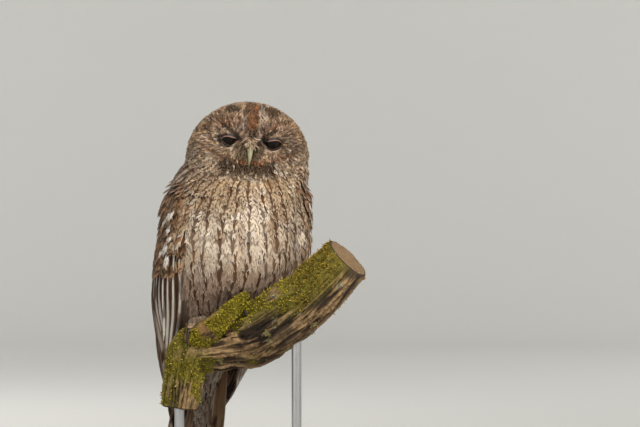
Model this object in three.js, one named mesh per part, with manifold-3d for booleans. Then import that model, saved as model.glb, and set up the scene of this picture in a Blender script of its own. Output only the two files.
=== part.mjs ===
// A tawny owl asleep on a cut length of limb, life size, on a plain display stand.
// Millimetres, +Z up. The owl faces -Y, and +X is on the viewer's right. The origin is the
// middle of the stand's underside. The solids reach out to the tips of the plumage.
import * as THREE from "three";
import { mergeVertices } from "three/addons/utils/BufferGeometryUtils.js";
import Module from "manifold-3d";

const wasm = await Module();
wasm.setup();

// ---------- driving dimensions ----------

const GAP = 0.35; // clearance between pieces that touch
const SOFT_GAP = 0.9; // clearance round the trunk and the legs, in the soft plumage by them
const FLATNESS = 0.16; // how far a cut solid may be simplified

// Levels of the plumage from the cheeks down: middle of the section, half width, reach to the
// front and to the back, and how far the section is turned to the viewer's right, in degrees.
const TORSO = [
  { z: 334, x: 16.5, y: -4, half: 62, front: 48, back: 50, turn: 4 },
  { z: 316, x: 12.5, y: -3, half: 63.5, front: 49, back: 50, turn: 8 },
  { z: 297, x: 8.5, y: -2, half: 66, front: 57, back: 54, turn: 12 },
  { z: 265, x: 4.5, y: 0, half: 68.5, front: 64, back: 58, turn: 14 },
  { z: 230, x: 0.5, y: 0, half: 70, front: 64, back: 58, turn: 14 },
  { z: 205, x: -4, y: 3, half: 66, front: 58, back: 54, turn: 14 },
  { z: 180, x: -12, y: 11, half: 62, front: 49, back: 46, turn: 14 },
  { z: 150, x: -20, y: 25, half: 54, front: 42, back: 36, turn: 14 },
  { z: 128, x: -26, y: 32, half: 42, front: 34, back: 28, turn: 14 },
];
const CHEEK_Z = 334; // widest level of the head, where its dome begins
const DOME = 56.5; // height of the dome over the cheeks
const BELLY_Z = 215; // level where the belly begins to close
const BELLY_DROP = 88; // height over which it closes, down to the vent
const ROUND = 2.15; // exponent of the sections: 2 is an ellipse, more is squarer
const NECK_TOP = 312;
const NECK_BOTTOM = 300;

// Face: the point between the eyes, and the turn, nod and tilt of the head in degrees.
const FACE = { x: 20.7, y: -50, z: 349.3, turn: 4, nod: 6, tilt: 5 };
const EYE = { apart: 42.6, up: 1.2, depth: 14.5, radius: 10.5 };
const DISC = { dip: 6, radius: 30, rim: 2.6, rimWidth: 5, ridge: 2.6, ridgeWidth: 7 };

const BILL_LENGTH = 23; // from the point between the eyes to the tip of the hook
const BILL_WIDTH = 8.5;
const BILL_DEPTH = 11;

// Levels of the surface that both folded wings lie on, from the shoulder to the tips.
const WRAP = [
  { z: 312, x: 10.5, y: -1, half: 63, front: 46, back: 51, turn: 12 },
  { z: 297, x: 8, y: 0, half: 73, front: 54, back: 57, turn: 13 },
  { z: 265, x: 4.5, y: 0, half: 77.5, front: 62, back: 63, turn: 14 },
  { z: 230, x: 0.5, y: 2, half: 80, front: 60, back: 62, turn: 14 },
  { z: 195, x: -7, y: 6, half: 76, front: 50, back: 57, turn: 14 },
  { z: 165, x: -16, y: 15, half: 64, front: 26, back: 47, turn: 14 },
  { z: 130, x: -25, y: 23, half: 49, front: 10, back: 36, turn: 14 },
  { z: 90, x: -33, y: 30, half: 34, front: 8, back: 28, turn: 14 },
  { z: 50, x: -39, y: 35, half: 22, front: 6, back: 23, turn: 14 },
];
// Levels of one wing on that surface: where its front and back edges lie, in degrees round
// from the breast, and its thickness.
const WING = [
  { z: 312, fore: 84, aft: 98, thick: 4 },
  { z: 297, fore: 64, aft: 128, thick: 9 },
  { z: 265, fore: 55, aft: 148, thick: 12 },
  { z: 230, fore: 50, aft: 160, thick: 12 },
  { z: 195, fore: 44, aft: 169, thick: 10 },
  { z: 165, fore: 43, aft: 173, thick: 8 },
  { z: 130, fore: 52, aft: 172, thick: 7 },
  { z: 90, fore: 76, aft: 166, thick: 5.5 },
  { z: 50, fore: 128, aft: 150, thick: 3 },
];
const WING_EDGE = 0.14; // share of the wing's breadth over which each edge thins
const WING_LEAST = 1.6; // least thickness of the wing

const TAIL = { length: 158, root: 18, breadth: 29, thick: 6, tipThick: 3 };
const TAIL_ROOT = new THREE.Vector3(-14, 36, 188);
const TAIL_TIP = new THREE.Vector3(-42, 44, 32);

// The limb, from its lower cut end round an elbow and up to its other cut end.
const LIMB = [
  { x: -51, y: -15, z: 86, radius: 18 },
  { x: -47, y: -15, z: 114, radius: 18.5 },
  { x: -37, y: -16, z: 143, radius: 22 },
  { x: -8, y: -19, z: 150, radius: 27 },
  { x: 22, y: -25, z: 158, radius: 30.5 },
  { x: 56, y: -55, z: 178, radius: 29 },
  { x: 82, y: -70, z: 199, radius: 27 },
  { x: 116, y: -82, z: 234, radius: 24 },
];
const LIMB_SIDES = 18;
const LIMB_STEPS = 21;
const LIMB_RIDGE = 0.055; // height of the ridges in the wood, as a share of its radius
const SPLINTER = { from: [-36, -30, 163], to: [14, -44, 202], wide: 7, deep: 5.5 };

const FEET = [
  { side: "right", limbAt: 0.275 },
  { side: "left", limbAt: 0.465 },
];
const TOE = { radius: 4.6, length: 27, claw: 13, clawRadius: 2.1 };
// Toes of one foot: how far each leans along the limb, and whether it points ahead or behind.
const TOES = [
  { name: "inner", lean: -9, ahead: 1 },
  { name: "middle", lean: 1, ahead: 1 },
  { name: "outer", lean: 11, ahead: 1 },
  { name: "hind", lean: 0, ahead: -1 },
];

const BASE = { width: 216, depth: 172, corner: 60, height: 13, bevel: 2 };
const ROD_RADIUS = 5;
const RODS = [
  { name: "stand_rod_left", x: -51, y: -15, top: 96 },
  { name: "stand_rod_right", x: 66, y: -61, top: 184 },
];

// ---------- finishes ----------

function finish(colour, roughness, metalness = 0) {
  return new THREE.MeshStandardMaterial({ color: colour, roughness, metalness });
}

const PLUMAGE = finish(0xa08a74, 0.9);
const FACE_PLUMAGE = finish(0x8d7966, 0.9);
const WING_PLUMAGE = finish(0x6b543f, 0.85);
const TOE_PLUMAGE = finish(0xb5a48e, 0.9);
const EYE_GLOSS = finish(0x0d0a08, 0.1);
const BILL_HORN = finish(0xb9b083, 0.45);
const CLAW_HORN = finish(0x2a2420, 0.4);
const MOSSY_WOOD = finish(0x6d6035, 0.95);
const STAND_WOOD = finish(0x3a2a20, 0.5);
const STAND_STEEL = finish(0x8a8c8e, 0.35, 1);

// ---------- curves and surfaces ----------

const { sin, cos, sqrt, abs, exp, min, max, PI } = Math;
const { degToRad, lerp, clamp, smoothstep } = THREE.MathUtils;

// One column of a table of levels at height z, on a smooth curve through its rows.
function level(table, key, z) {
  const rows = table.length - 1;
  let i = 0;
  while (i < rows - 1 && z < table[i + 1].z) i += 1;
  const slope = (j) => {
    const a = table[max(j - 1, 0)];
    const b = table[min(j + 1, rows)];
    return (b[key] - a[key]) / (b.z - a.z);
  };
  const [p, q] = [table[i], table[i + 1]];
  const span = q.z - p.z;
  const t = clamp((z - p.z) / span, 0, 1);
  const bend = t * t * (3 - 2 * t);
  const leave = t * (1 - t) * (1 - t) * span * slope(i);
  const arrive = t * t * (t - 1) * span * slope(i + 1);
  return p[key] + (q[key] - p[key]) * bend + leave + arrive;
}

// A point of a level's section, turn degrees round from the breast towards the viewer's right.
function section(table, z, turn, scale = 1) {
  const a = degToRad(turn);
  const [s, c] = [sin(a), cos(a)];
  const square = (abs(s) ** ROUND + abs(c) ** ROUND) ** (-1 / ROUND);
  const side = level(table, "half", z) * s * square * scale;
  const ahead = level(table, c > 0 ? "front" : "back", z) * c * square * scale;
  const yaw = degToRad(level(table, "turn", z));
  return new THREE.Vector3(
    level(table, "x", z) + side * cos(yaw) + ahead * sin(yaw),
    level(table, "y", z) + side * sin(yaw) - ahead * cos(yaw),
    z,
  );
}

// How far the section at z has closed towards the crown or the vent: 1 is open.
function closing(z) {
  const up = clamp((z - CHEEK_Z) / DOME, 0, 1);
  const down = clamp((BELLY_Z - z) / BELLY_DROP, 0, 1);
  return sqrt(1 - up * up) * sqrt(1 - down * down);
}

function torsoPoint(z, turn) {
  return section(TORSO, min(z, CHEEK_Z), turn, closing(z)).setZ(z);
}

// A point moved straight out from the torso's middle until it clears the torso by a margin.
function clearOfTorso(point, margin) {
  const z = min(point.z, CHEEK_Z);
  const middle = new THREE.Vector3(level(TORSO, "x", z), level(TORSO, "y", z), point.z);
  const out = point.clone().sub(middle);
  const yaw = degToRad(level(TORSO, "turn", z));
  const side = out.x * cos(yaw) + out.y * sin(yaw);
  const ahead = out.x * sin(yaw) - out.y * cos(yaw);
  const deep = level(TORSO, ahead > 0 ? "front" : "back", z);
  const across = (abs(side) / level(TORSO, "half", z)) ** ROUND;
  const reach = (across + (abs(ahead) / deep) ** ROUND) ** (1 / ROUND) / closing(point.z);
  const clear = out.length() / reach + margin;
  return out.length() < clear ? middle.addScaledVector(out.normalize(), clear) : point;
}

// The face's own frame: x to the viewer's right, -y out of the face, z up the forehead.
const faceFrame = new THREE.Matrix4()
  .makeRotationFromEuler(
    new THREE.Euler(degToRad(FACE.nod), degToRad(FACE.tilt), degToRad(FACE.turn), "ZXY"),
  )
  .setPosition(FACE.x, FACE.y, FACE.z);
const faceInverse = faceFrame.clone().invert();
const onFace = (x, y, z) => new THREE.Vector3(x, y, z).applyMatrix4(faceFrame);

// The facial disc: a shallow dish round each eye, a raised rim, and a ridge over the bill.
function withDisc(point) {
  const p = point.clone().applyMatrix4(faceInverse);
  const facing = 1 - smoothstep(p.y, 16, 34);
  const reach = Math.hypot(abs(p.x) - EYE.apart / 2, p.z - EYE.up);
  const dish = -DISC.dip * max(0, 1 - (reach / DISC.radius) ** 2) ** 2;
  const rim = DISC.rim * exp(-(((reach - DISC.radius - 3) / DISC.rimWidth) ** 2));
  const ridge = DISC.ridge * exp(-((p.x / DISC.ridgeWidth) ** 2)) * smoothstep(p.z, -26, -8);
  const out = (dish + rim * smoothstep(abs(p.x), 6, 20) + ridge) * facing;
  return onFace(p.x, p.y - out, p.z);
}

// ---------- solids ----------

// A closed mesh through a row of rings. A ring of one point is a pole, and an end ring of
// more is closed by a fan round its middle.
function loft(rings) {
  const points = [];
  const faces = [];
  const starts = rings.map((ring) => {
    points.push(...ring);
    return points.length - ring.length;
  });
  const join = (a, b) => {
    const n = max(rings[a].length, rings[b].length);
    for (let i = 0; i < n; i += 1) {
      const j = (i + 1) % n;
      const at = (r, k) => starts[r] + (rings[r].length === 1 ? 0 : k);
      if (rings[a].length > 1) faces.push([at(a, i), at(a, j), at(b, j)]);
      if (rings[b].length > 1) faces.push([at(a, i), at(b, j), at(b, i)]);
    }
  };
  for (let r = 0; r < rings.length - 1; r += 1) join(r, r + 1);
  for (const [r, turned] of [[0, true], [rings.length - 1, false]]) {
    if (rings[r].length === 1) continue;
    const middle = rings[r].reduce((sum, p) => sum.add(p), new THREE.Vector3());
    points.push(middle.divideScalar(rings[r].length));
    rings[r].forEach((_, i) => {
      const pair = [starts[r] + i, starts[r] + ((i + 1) % rings[r].length)];
      faces.push([points.length - 1, ...(turned ? pair.reverse() : pair)]);
    });
  }
  return outwards(points, faces);
}

// A geometry of those points and faces, turned so that its faces point out.
function outwards(points, faces) {
  const volume = faces.reduce((sum, [a, b, c]) => {
    return sum + points[a].dot(points[b].clone().cross(points[c]));
  }, 0);
  const index = faces.flatMap(([a, b, c]) => (volume > 0 ? [a, b, c] : [a, c, b]));
  return new THREE.BufferGeometry().setFromPoints(points).setIndex(index);
}

// A closed plate between two surfaces f(s, t, 0) and f(s, t, 1), for s and t from 0 to 1.
function plate(f, rows, columns) {
  const points = [];
  const at = (i, j, side) => (i * (columns + 1) + j) * 2 + side;
  for (let i = 0; i <= rows; i += 1) {
    for (let j = 0; j <= columns; j += 1) {
      points.push(f(i / rows, j / columns, 0), f(i / rows, j / columns, 1));
    }
  }
  const faces = [];
  const quad = (a, b, c, d) => faces.push([a, b, c], [a, c, d]);
  for (let i = 0; i < rows; i += 1) {
    for (let j = 0; j < columns; j += 1) {
      quad(at(i, j, 1), at(i + 1, j, 1), at(i + 1, j + 1, 1), at(i, j + 1, 1));
      quad(at(i, j, 0), at(i, j + 1, 0), at(i + 1, j + 1, 0), at(i + 1, j, 0));
    }
    quad(at(i, 0, 0), at(i + 1, 0, 0), at(i + 1, 0, 1), at(i, 0, 1));
    quad(at(i, columns, 1), at(i + 1, columns, 1), at(i + 1, columns, 0), at(i, columns, 0));
  }
  for (let j = 0; j < columns; j += 1) {
    quad(at(0, j, 0), at(0, j, 1), at(0, j + 1, 1), at(0, j + 1, 0));
    quad(at(rows, j, 1), at(rows, j, 0), at(rows, j + 1, 0), at(rows, j + 1, 1));
  }
  return outwards(points, faces);
}

// A tube along a curve with a radius at each share of its length, and a flattening.
function tube(curve, steps, sides, radiusAt, flat = 1, tip = true) {
  const frames = curve.computeFrenetFrames(steps, false);
  const rings = [];
  for (let i = 0; i <= steps; i += 1) {
    const centre = curve.getPointAt(i / steps);
    if (tip && i === steps) {
      rings.push([centre]);
      continue;
    }
    rings.push(
      Array.from({ length: sides }, (_, k) => {
        const a = (2 * PI * k) / sides;
        const r = radiusAt(i / steps, a);
        return centre
          .clone()
          .addScaledVector(frames.normals[i], r * cos(a))
          .addScaledVector(frames.binormals[i], r * sin(a) * flat);
      }),
    );
  }
  return loft(rings);
}

function toSolid(geometry) {
  const bare = geometry.clone();
  bare.deleteAttribute("normal");
  bare.deleteAttribute("uv");
  const merged = mergeVertices(bare, 1e-3);
  return new wasm.Manifold(
    new wasm.Mesh({
      numProp: 3,
      vertProperties: new Float32Array(merged.attributes.position.array),
      triVerts: new Uint32Array(merged.index.array),
    }),
  );
}

// The largest body of a solid, with the slivers that a cut leaves taken out.
function largest(solid) {
  const bodies = solid.simplify(FLATNESS).decompose();
  return bodies.reduce((a, b) => (b.volume() > a.volume() ? b : a));
}

function toGeometry(solid) {
  const mesh = solid.getMesh();
  return new THREE.BufferGeometry()
    .setAttribute("position", new THREE.BufferAttribute(mesh.vertProperties, 3))
    .setIndex(new THREE.BufferAttribute(mesh.triVerts, 1));
}

// A solid cut back from its neighbours, which the cut makes larger by the gap.
function cutBy(solid, ...neighbours) {
  return largest(neighbours.reduce((left, other) => left.subtract(other), solid));
}

// ---------- the owl's parts ----------

const FACE_SIDES = 40;
const TRUNK_SIDES = 32;

// A ring round the body, with its points closer together at the front by the share given.
function bodyRing(z, sides, crowding, grow, shape = (p) => p) {
  return Array.from({ length: sides }, (_, k) => {
    const t = k / sides;
    const turn = 360 * t - (crowding * 180 * sin(2 * PI * t)) / PI;
    const p = torsoPoint(z, turn);
    const middle = torsoPoint(z, 0).add(torsoPoint(z, 180)).divideScalar(2);
    return shape(p.addScaledVector(p.clone().sub(middle).setZ(0).normalize(), grow));
  });
}

function buildHead() {
  const rows = 15;
  const crown = torsoPoint(CHEEK_Z + DOME - 0.001, 0).setZ(CHEEK_Z + DOME);
  const rings = [[crown]];
  for (let i = 1; i <= rows; i += 1) {
    const z = CHEEK_Z + DOME * cos((PI / 2) * (i / rows) ** 0.95);
    rings.push(bodyRing(z, FACE_SIDES, 0.42, 0, withDisc));
  }
  for (const z of [328, 322, 316]) {
    rings.push(bodyRing(z, FACE_SIDES, 0.42, 0, withDisc));
  }
  rings.push(bodyRing(NECK_TOP + GAP / 2, FACE_SIDES, 0.42, 0));
  return toSolid(loft(rings));
}

function buildNeck() {
  const levels = [NECK_TOP - GAP / 2, (NECK_TOP + NECK_BOTTOM) / 2, NECK_BOTTOM + GAP / 2];
  return toSolid(loft(levels.map((z) => bodyRing(z, TRUNK_SIDES, 0, 0))));
}

// The trunk, from the neck to the vent, grown by a margin where it is used as a cutter.
function buildTrunk(grow = 0) {
  const top = NECK_BOTTOM - GAP / 2;
  const rings = [];
  const straight = 7;
  for (let i = 0; i < straight; i += 1) {
    rings.push(bodyRing(lerp(top, BELLY_Z, i / straight), TRUNK_SIDES, 0, grow));
  }
  const rows = 10;
  for (let i = 0; i < rows; i += 1) {
    const z = BELLY_Z - BELLY_DROP * sin((PI / 2) * (i / rows));
    rings.push(bodyRing(z, TRUNK_SIDES, 0, grow));
  }
  const vent = BELLY_Z - BELLY_DROP;
  rings.push([torsoPoint(vent + 0.001, 0).setZ(vent - grow)]);
  return toSolid(loft(rings));
}

// One folded wing: a plate on the wrap surface, thin at its edges and tip.
function buildWing(side) {
  const top = WING[0].z;
  const tip = WING[WING.length - 1].z;
  const f = (s, t, outer) => {
    const z = lerp(top, tip, s ** 1.4);
    const turn = side * lerp(level(WING, "fore", z), level(WING, "aft", z), t);
    const edge = smoothstep(t, 0, WING_EDGE) * (1 - smoothstep(t, 1 - WING_EDGE, 1));
    const thick = level(WING, "thick", z) * lerp(0.35, 1, edge);
    const p = section(WRAP, z, turn);
    const middle = new THREE.Vector3(level(WRAP, "x", z), level(WRAP, "y", z), z);
    const away = p.clone().sub(middle).setZ(0).normalize();
    if (outer) return clearOfTorso(p, SOFT_GAP + WING_LEAST);
    return clearOfTorso(p.addScaledVector(away, -thick), SOFT_GAP);
  };
  return toSolid(plate(f, 18, 9));
}

// The folded tail: a flat fan with a round end.
function buildTail(grow = 0) {
  const axis = TAIL_TIP.clone().sub(TAIL_ROOT).normalize();
  const across = new THREE.Vector3(0, -1, 0).cross(axis).normalize();
  const normal = axis.clone().cross(across).normalize();
  const f = (s, t, outer) => {
    const side = 2 * t - 1;
    const breadth = lerp(TAIL.root, TAIL.breadth, smoothstep(s, 0, 0.75)) + grow;
    const roundEnd = 9 * side * side;
    const along = s * (TAIL.length + grow - roundEnd);
    const thick = lerp(TAIL.thick, TAIL.tipThick, s) * (1 - 0.6 * side ** 4) + 2 * grow;
    const arch = -3 * side * side;
    return TAIL_ROOT.clone()
      .addScaledVector(axis, along)
      .addScaledVector(across, side * breadth)
      .addScaledVector(normal, arch + (outer ? thick / 2 : -thick / 2));
  };
  return toSolid(plate(f, 12, 8));
}

const limbCurve = new THREE.CatmullRomCurve3(
  LIMB.map(({ x, y, z }) => new THREE.Vector3(x, y, z)),
  false,
  "centripetal",
);
limbCurve.arcLengthDivisions = 600;

// The limb's radius, at a share of its length.
function limbRadius(share) {
  const at = limbCurve.getUtoTmapping(share) * (LIMB.length - 1);
  const i = min(Math.floor(at), LIMB.length - 2);
  return lerp(LIMB[i].radius, LIMB[i + 1].radius, smoothstep(at - i, 0, 1));
}

function ridged(share, angle) {
  const waves = sin(5 * angle + 4 * share) + 0.6 * sin(9 * angle - 11 * share);
  const knots = 0.5 * sin(19 * share + 2 * angle);
  return 1 + LIMB_RIDGE * (0.6 * waves + knots);
}

function buildLimb(grow = 0) {
  const wood = tube(
    limbCurve,
    LIMB_STEPS,
    LIMB_SIDES,
    (share, angle) => limbRadius(share) * ridged(share, angle) + grow,
    1,
    false,
  );
  const [from, to] = [SPLINTER.from, SPLINTER.to].map((p) => new THREE.Vector3(...p));
  const middle = from.clone().lerp(to, 0.5).add(new THREE.Vector3(0, -2, 2));
  const splinter = tube(
    new THREE.CatmullRomCurve3([from, middle, to]),
    8,
    8,
    (share) => SPLINTER.wide * (1 - 0.75 * share ** 2) + grow,
    SPLINTER.deep / SPLINTER.wide,
  );
  return toSolid(wood).add(toSolid(splinter));
}

// A frame on top of the limb where a foot stands: along it, out of it and across it.
function footing(share) {
  const centre = limbCurve.getPointAt(share);
  const along = limbCurve.getTangentAt(share);
  if (along.x < 0) along.negate();
  const up = new THREE.Vector3(0, 0, 1).addScaledVector(along, -along.z).normalize();
  const ahead = up.clone().cross(along).negate().setZ(0).normalize();
  if (ahead.y > 0) ahead.negate();
  return { centre, along, up, ahead, radius: limbRadius(share) };
}

// A curve that starts on top of the limb and follows it down, from one arc length to another.
function overLimb(foot, toe, lift, from, to) {
  const points = [];
  const steps = 5;
  for (let i = 0; i <= steps; i += 1) {
    const run = lerp(from, to, i / steps);
    const radius = foot.radius + lift(i / steps);
    const angle = (toe.ahead * run) / radius;
    points.push(
      foot.centre
        .clone()
        .addScaledVector(foot.up, radius * cos(angle))
        .addScaledVector(foot.ahead, radius * sin(angle))
        .addScaledVector(foot.along, (toe.lean * run) / TOE.length),
    );
  }
  return new THREE.CatmullRomCurve3(points);
}

function buildToe(foot, toe, grow = 0) {
  const curve = overLimb(foot, toe, () => TOE.radius + 0.8, -3 - grow, TOE.length + grow);
  return toSolid(tube(curve, 4, 7, (s) => TOE.radius * (1 - 0.25 * s) + grow, 1, false));
}

function buildClaw(foot, toe, grow = 0) {
  const lift = (s) => TOE.radius + 1.2 + 1.2 * sin(PI * s) - 3.4 * s;
  const start = TOE.length + GAP;
  const curve = overLimb(foot, toe, lift, start - grow, start + TOE.claw + grow);
  return toSolid(tube(curve, 4, 6, (s) => TOE.clawRadius * (1 - 0.9 * s) + 0.15 + grow));
}

// The toes of one foot and the pad that joins them.
function buildFoot(foot, grow = 0) {
  const pad = new THREE.SphereGeometry(TOE.radius * 1.45 + grow, 10, 7);
  pad.translate(...foot.centre.clone().addScaledVector(foot.up, foot.radius + TOE.radius + 0.8));
  return TOES.reduce((all, toe) => all.add(buildToe(foot, toe, grow)), toSolid(pad));
}

// A short feathered shank between the belly and the foot.
function buildShank(foot, grow = 0) {
  const heel = foot.centre.clone().addScaledVector(foot.up, foot.radius + TOE.radius * 1.6);
  const hip = heel.clone().add(new THREE.Vector3(-2, 10, 24));
  const curve = new THREE.CatmullRomCurve3([hip, heel.clone().lerp(hip, 0.5), heel]);
  return toSolid(tube(curve, 3, 10, (s) => lerp(15, 9.5, s) + grow, 1, false));
}

function buildBill(grow = 0) {
  const path = new THREE.CatmullRomCurve3([
    onFace(0, 10 + grow, 2),
    onFace(0, 1, 0),
    onFace(0, -5, -5.5),
    onFace(0, -7.5, -14),
    onFace(0, -5, -BILL_LENGTH - grow),
  ]);
  const half = (s) => (BILL_WIDTH / 2) * (1 - s ** 2.6) + 0.25 + grow;
  return toSolid(tube(path, 10, 12, half, BILL_DEPTH / BILL_WIDTH));
}

function buildJaw(grow = 0) {
  const path = new THREE.CatmullRomCurve3([
    onFace(0, 10 + grow, -11),
    onFace(0, 0, -14.5),
    onFace(0, -6.5, -19.5 - grow),
  ]);
  const half = (s) => (BILL_WIDTH / 2) * 0.8 * (1 - s ** 2) + 0.3 + grow;
  return toSolid(tube(path, 6, 10, half, 0.8));
}

function buildEye(side, radius) {
  const ball = new THREE.SphereGeometry(radius, 14, 10);
  ball.rotateX(PI / 2);
  const centre = onFace((side * EYE.apart) / 2, EYE.depth, EYE.up);
  return toSolid(ball.translate(centre.x, centre.y, centre.z));
}

// ---------- the stand ----------

function buildBase() {
  const [w, d, c] = [BASE.width / 2 - BASE.bevel, BASE.depth / 2 - BASE.bevel, BASE.corner];
  const outline = new THREE.Shape()
    .moveTo(-w + c, -d)
    .lineTo(w - c, -d)
    .absarc(w - c, -d + c, c, -PI / 2, 0)
    .lineTo(w, d - c)
    .absarc(w - c, d - c, c, 0, PI / 2)
    .lineTo(-w + c, d)
    .absarc(-w + c, d - c, c, PI / 2, PI)
    .lineTo(-w, -d + c)
    .absarc(-w + c, -d + c, c, PI, 1.5 * PI);
  const slab = new THREE.ExtrudeGeometry(outline, {
    depth: BASE.height - 2 * BASE.bevel,
    bevelSize: BASE.bevel,
    bevelThickness: BASE.bevel,
    bevelSegments: 1,
    curveSegments: 6,
  });
  return toSolid(slab.translate(0, 0, BASE.bevel));
}

function buildRod({ x, y, top }) {
  const length = top - BASE.height;
  const rod = new THREE.CylinderGeometry(ROD_RADIUS, ROD_RADIUS, length, 24);
  return toSolid(rod.rotateX(PI / 2).translate(x, y, BASE.height + length / 2));
}

// ---------- putting it together ----------

const group = new THREE.Group();

function add(name, solid, material) {
  const mesh = new THREE.Mesh(toGeometry(solid), material);
  mesh.name = name;
  group.add(mesh);
}

// The pieces of one leg, each clear of the limb and of the others.
function buildLeg({ side, limbAt }, limbRoom) {
  const at = footing(limbAt);
  const footRoom = buildFoot(at, GAP);
  const pieces = { ["foot_" + side]: cutBy(buildFoot(at), limbRoom) };
  pieces["leg_" + side] = cutBy(buildShank(at), limbRoom, footRoom);
  for (const toe of TOES) {
    pieces["claw_" + side + "_" + toe.name] = cutBy(buildClaw(at, toe), limbRoom, footRoom);
  }
  return pieces;
}

// The room that one leg takes, which the belly and the wings are cut by.
function legRoom({ limbAt }) {
  const at = footing(limbAt);
  const claws = TOES.map((toe) => buildClaw(at, toe, SOFT_GAP));
  const toes = claws.reduce((all, claw) => all.add(claw), buildFoot(at, SOFT_GAP));
  return toes.hull().add(buildShank(at, SOFT_GAP));
}

const limb = buildLimb();
const limbRoom = buildLimb(GAP);
const legs = Object.assign({}, ...FEET.map((foot) => buildLeg(foot, limbRoom)));

const tail = cutBy(buildTail(), buildTrunk(SOFT_GAP));
const tailRoom = buildTail(GAP);
const feetRoom = FEET.map(legRoom);
const trunk = cutBy(buildTrunk(), limbRoom, ...feetRoom);

const eyes = [-1, 1].map((side) => buildEye(side, EYE.radius));
const sockets = [-1, 1].map((side) => buildEye(side, EYE.radius + GAP));
const head = cutBy(buildHead(), ...sockets, buildBill(GAP), buildJaw(GAP));

add("head", head, FACE_PLUMAGE);
add("neck", largest(buildNeck()), PLUMAGE);
add("trunk", trunk, PLUMAGE);
add("eye_right", eyes[0], EYE_GLOSS);
add("eye_left", eyes[1], EYE_GLOSS);
add("bill_upper", buildBill(), BILL_HORN);
add("bill_lower", cutBy(buildJaw(), buildBill(GAP)), BILL_HORN);
add("tail", tail, WING_PLUMAGE);
for (const [name, side] of [["wing_right", -1], ["wing_left", 1]]) {
  add(name, cutBy(buildWing(side), tailRoom, limbRoom, ...feetRoom), WING_PLUMAGE);
}
for (const [name, solid] of Object.entries(legs)) {
  add(name, solid, name.startsWith("claw") ? CLAW_HORN : TOE_PLUMAGE);
}
add("perch", limb, MOSSY_WOOD);
add("stand_base", buildBase(), STAND_WOOD);
for (const rod of RODS) add(rod.name, cutBy(buildRod(rod), limbRoom), STAND_STEEL);

export default group;
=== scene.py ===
"""A tawny owl dozing on a mossy limb, life size, over a plain display stand.

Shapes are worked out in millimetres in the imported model's own frame: +Z up, the owl facing -Y, +X on the
viewer's right, and the origin under the middle of the base. `publish` puts them into Blender in metres.
"""

from __future__ import annotations

import logging
import math
from dataclasses import dataclass, field, replace
from enum import Enum
from functools import cache

import bpy
import numpy as np
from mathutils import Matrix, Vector

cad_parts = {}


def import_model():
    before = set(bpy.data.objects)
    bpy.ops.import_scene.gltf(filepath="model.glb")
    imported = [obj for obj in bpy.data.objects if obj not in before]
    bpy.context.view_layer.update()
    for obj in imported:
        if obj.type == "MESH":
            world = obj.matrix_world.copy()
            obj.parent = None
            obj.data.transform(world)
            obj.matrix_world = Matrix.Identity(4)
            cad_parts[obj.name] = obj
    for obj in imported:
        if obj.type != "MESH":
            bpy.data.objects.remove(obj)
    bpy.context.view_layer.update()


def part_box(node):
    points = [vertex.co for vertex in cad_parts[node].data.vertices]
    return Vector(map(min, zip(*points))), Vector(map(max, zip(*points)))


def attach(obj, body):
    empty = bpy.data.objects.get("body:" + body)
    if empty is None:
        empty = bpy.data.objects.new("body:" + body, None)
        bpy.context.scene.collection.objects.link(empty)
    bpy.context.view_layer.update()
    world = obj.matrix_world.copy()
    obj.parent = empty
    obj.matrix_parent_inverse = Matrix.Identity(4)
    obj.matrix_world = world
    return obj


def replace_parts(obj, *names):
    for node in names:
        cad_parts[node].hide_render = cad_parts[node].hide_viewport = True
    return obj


Array = np.ndarray
Rng = np.random.Generator
Material = bpy.types.Material
Triple = tuple[float, float, float]
Faces = list[Array]
LOG = logging.getLogger("owl")

MM = 0.001  # one millimetre in the scene's metres
SEED = 7
GOLDEN_ANGLE = 2.399963  # radians, between neighbours on an even spiral
LATTICE_PRIMES = np.array([73856093, 19349663, 83492791])
SEED_PRIME, SCRAMBLE_PRIMES = 2654435761, (2246822519, 3266489917)
WORD = 0xFFFFFFFF  # the lowest 32 bits


# ---------- numbers and vectors ----------


def smooth(x: Array, low: float | Array, high: float | Array) -> Array:
    """A soft step: 0 below low, 1 above high, and 3t^2 - 2t^3 between."""
    t = np.clip((x - low) / (high - low), 0.0, 1.0)
    return t * t * (3.0 - 2.0 * t)


def bell(x: Array, middle: float, width: float) -> Array:
    """A bump of height 1 at middle: e to the power of minus ((x - middle) / width) squared."""
    return np.exp(-(((x - middle) / width) ** 2))


def mix(a: Array | float, b: Array | float, share: Array | float) -> Array:
    """The straight blend a + (b - a) * share."""
    return a + (b - a) * share


def hermite(values: Array, slopes: Array, span: Array, i: Array, t: Array) -> Array:
    """A cubic from value i to the next: their soft step, plus t(1-t)^2 and t^2(t-1) of their slopes."""
    step = mix(values[i], values[i + 1], t * t * (3.0 - 2.0 * t))
    return step + t * (1.0 - t) ** 2 * span * slopes[i] + t * t * (t - 1.0) * span * slopes[i + 1]


def unit(v: Array) -> Array:
    """Vectors over their own length."""
    return v / np.maximum(np.linalg.norm(v, axis=-1, keepdims=True), 1e-9)


def vec(*parts: Array | float) -> Array:
    """Numbers side by side along a new last axis, spread to one shape."""
    return np.stack(np.broadcast_arrays(*parts), -1)


def wash(colour: Array, tone: Array, share: Array, most: float = 1.0) -> Array:
    """One colour washed over another by a share at each point, held between 0 and the most."""
    return mix(colour, tone, np.clip(share, 0.0, most)[..., None])


def circle(count: int) -> Array:
    """Even angles round a full turn."""
    return np.linspace(0, 2.0 * np.pi, count + 1)[:-1]


def tube_grid(rows: int, sides: int) -> tuple[Array, Array]:
    """Shares from 0 to 1 down a grid, and angles round it."""
    return np.meshgrid(np.linspace(0, 1, rows), circle(sides), indexing="ij")


def dot(a: Array, b: Array) -> Array:
    """Dot products along the last axis, which is kept."""
    return (a * b).sum(-1, keepdims=True)


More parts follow.
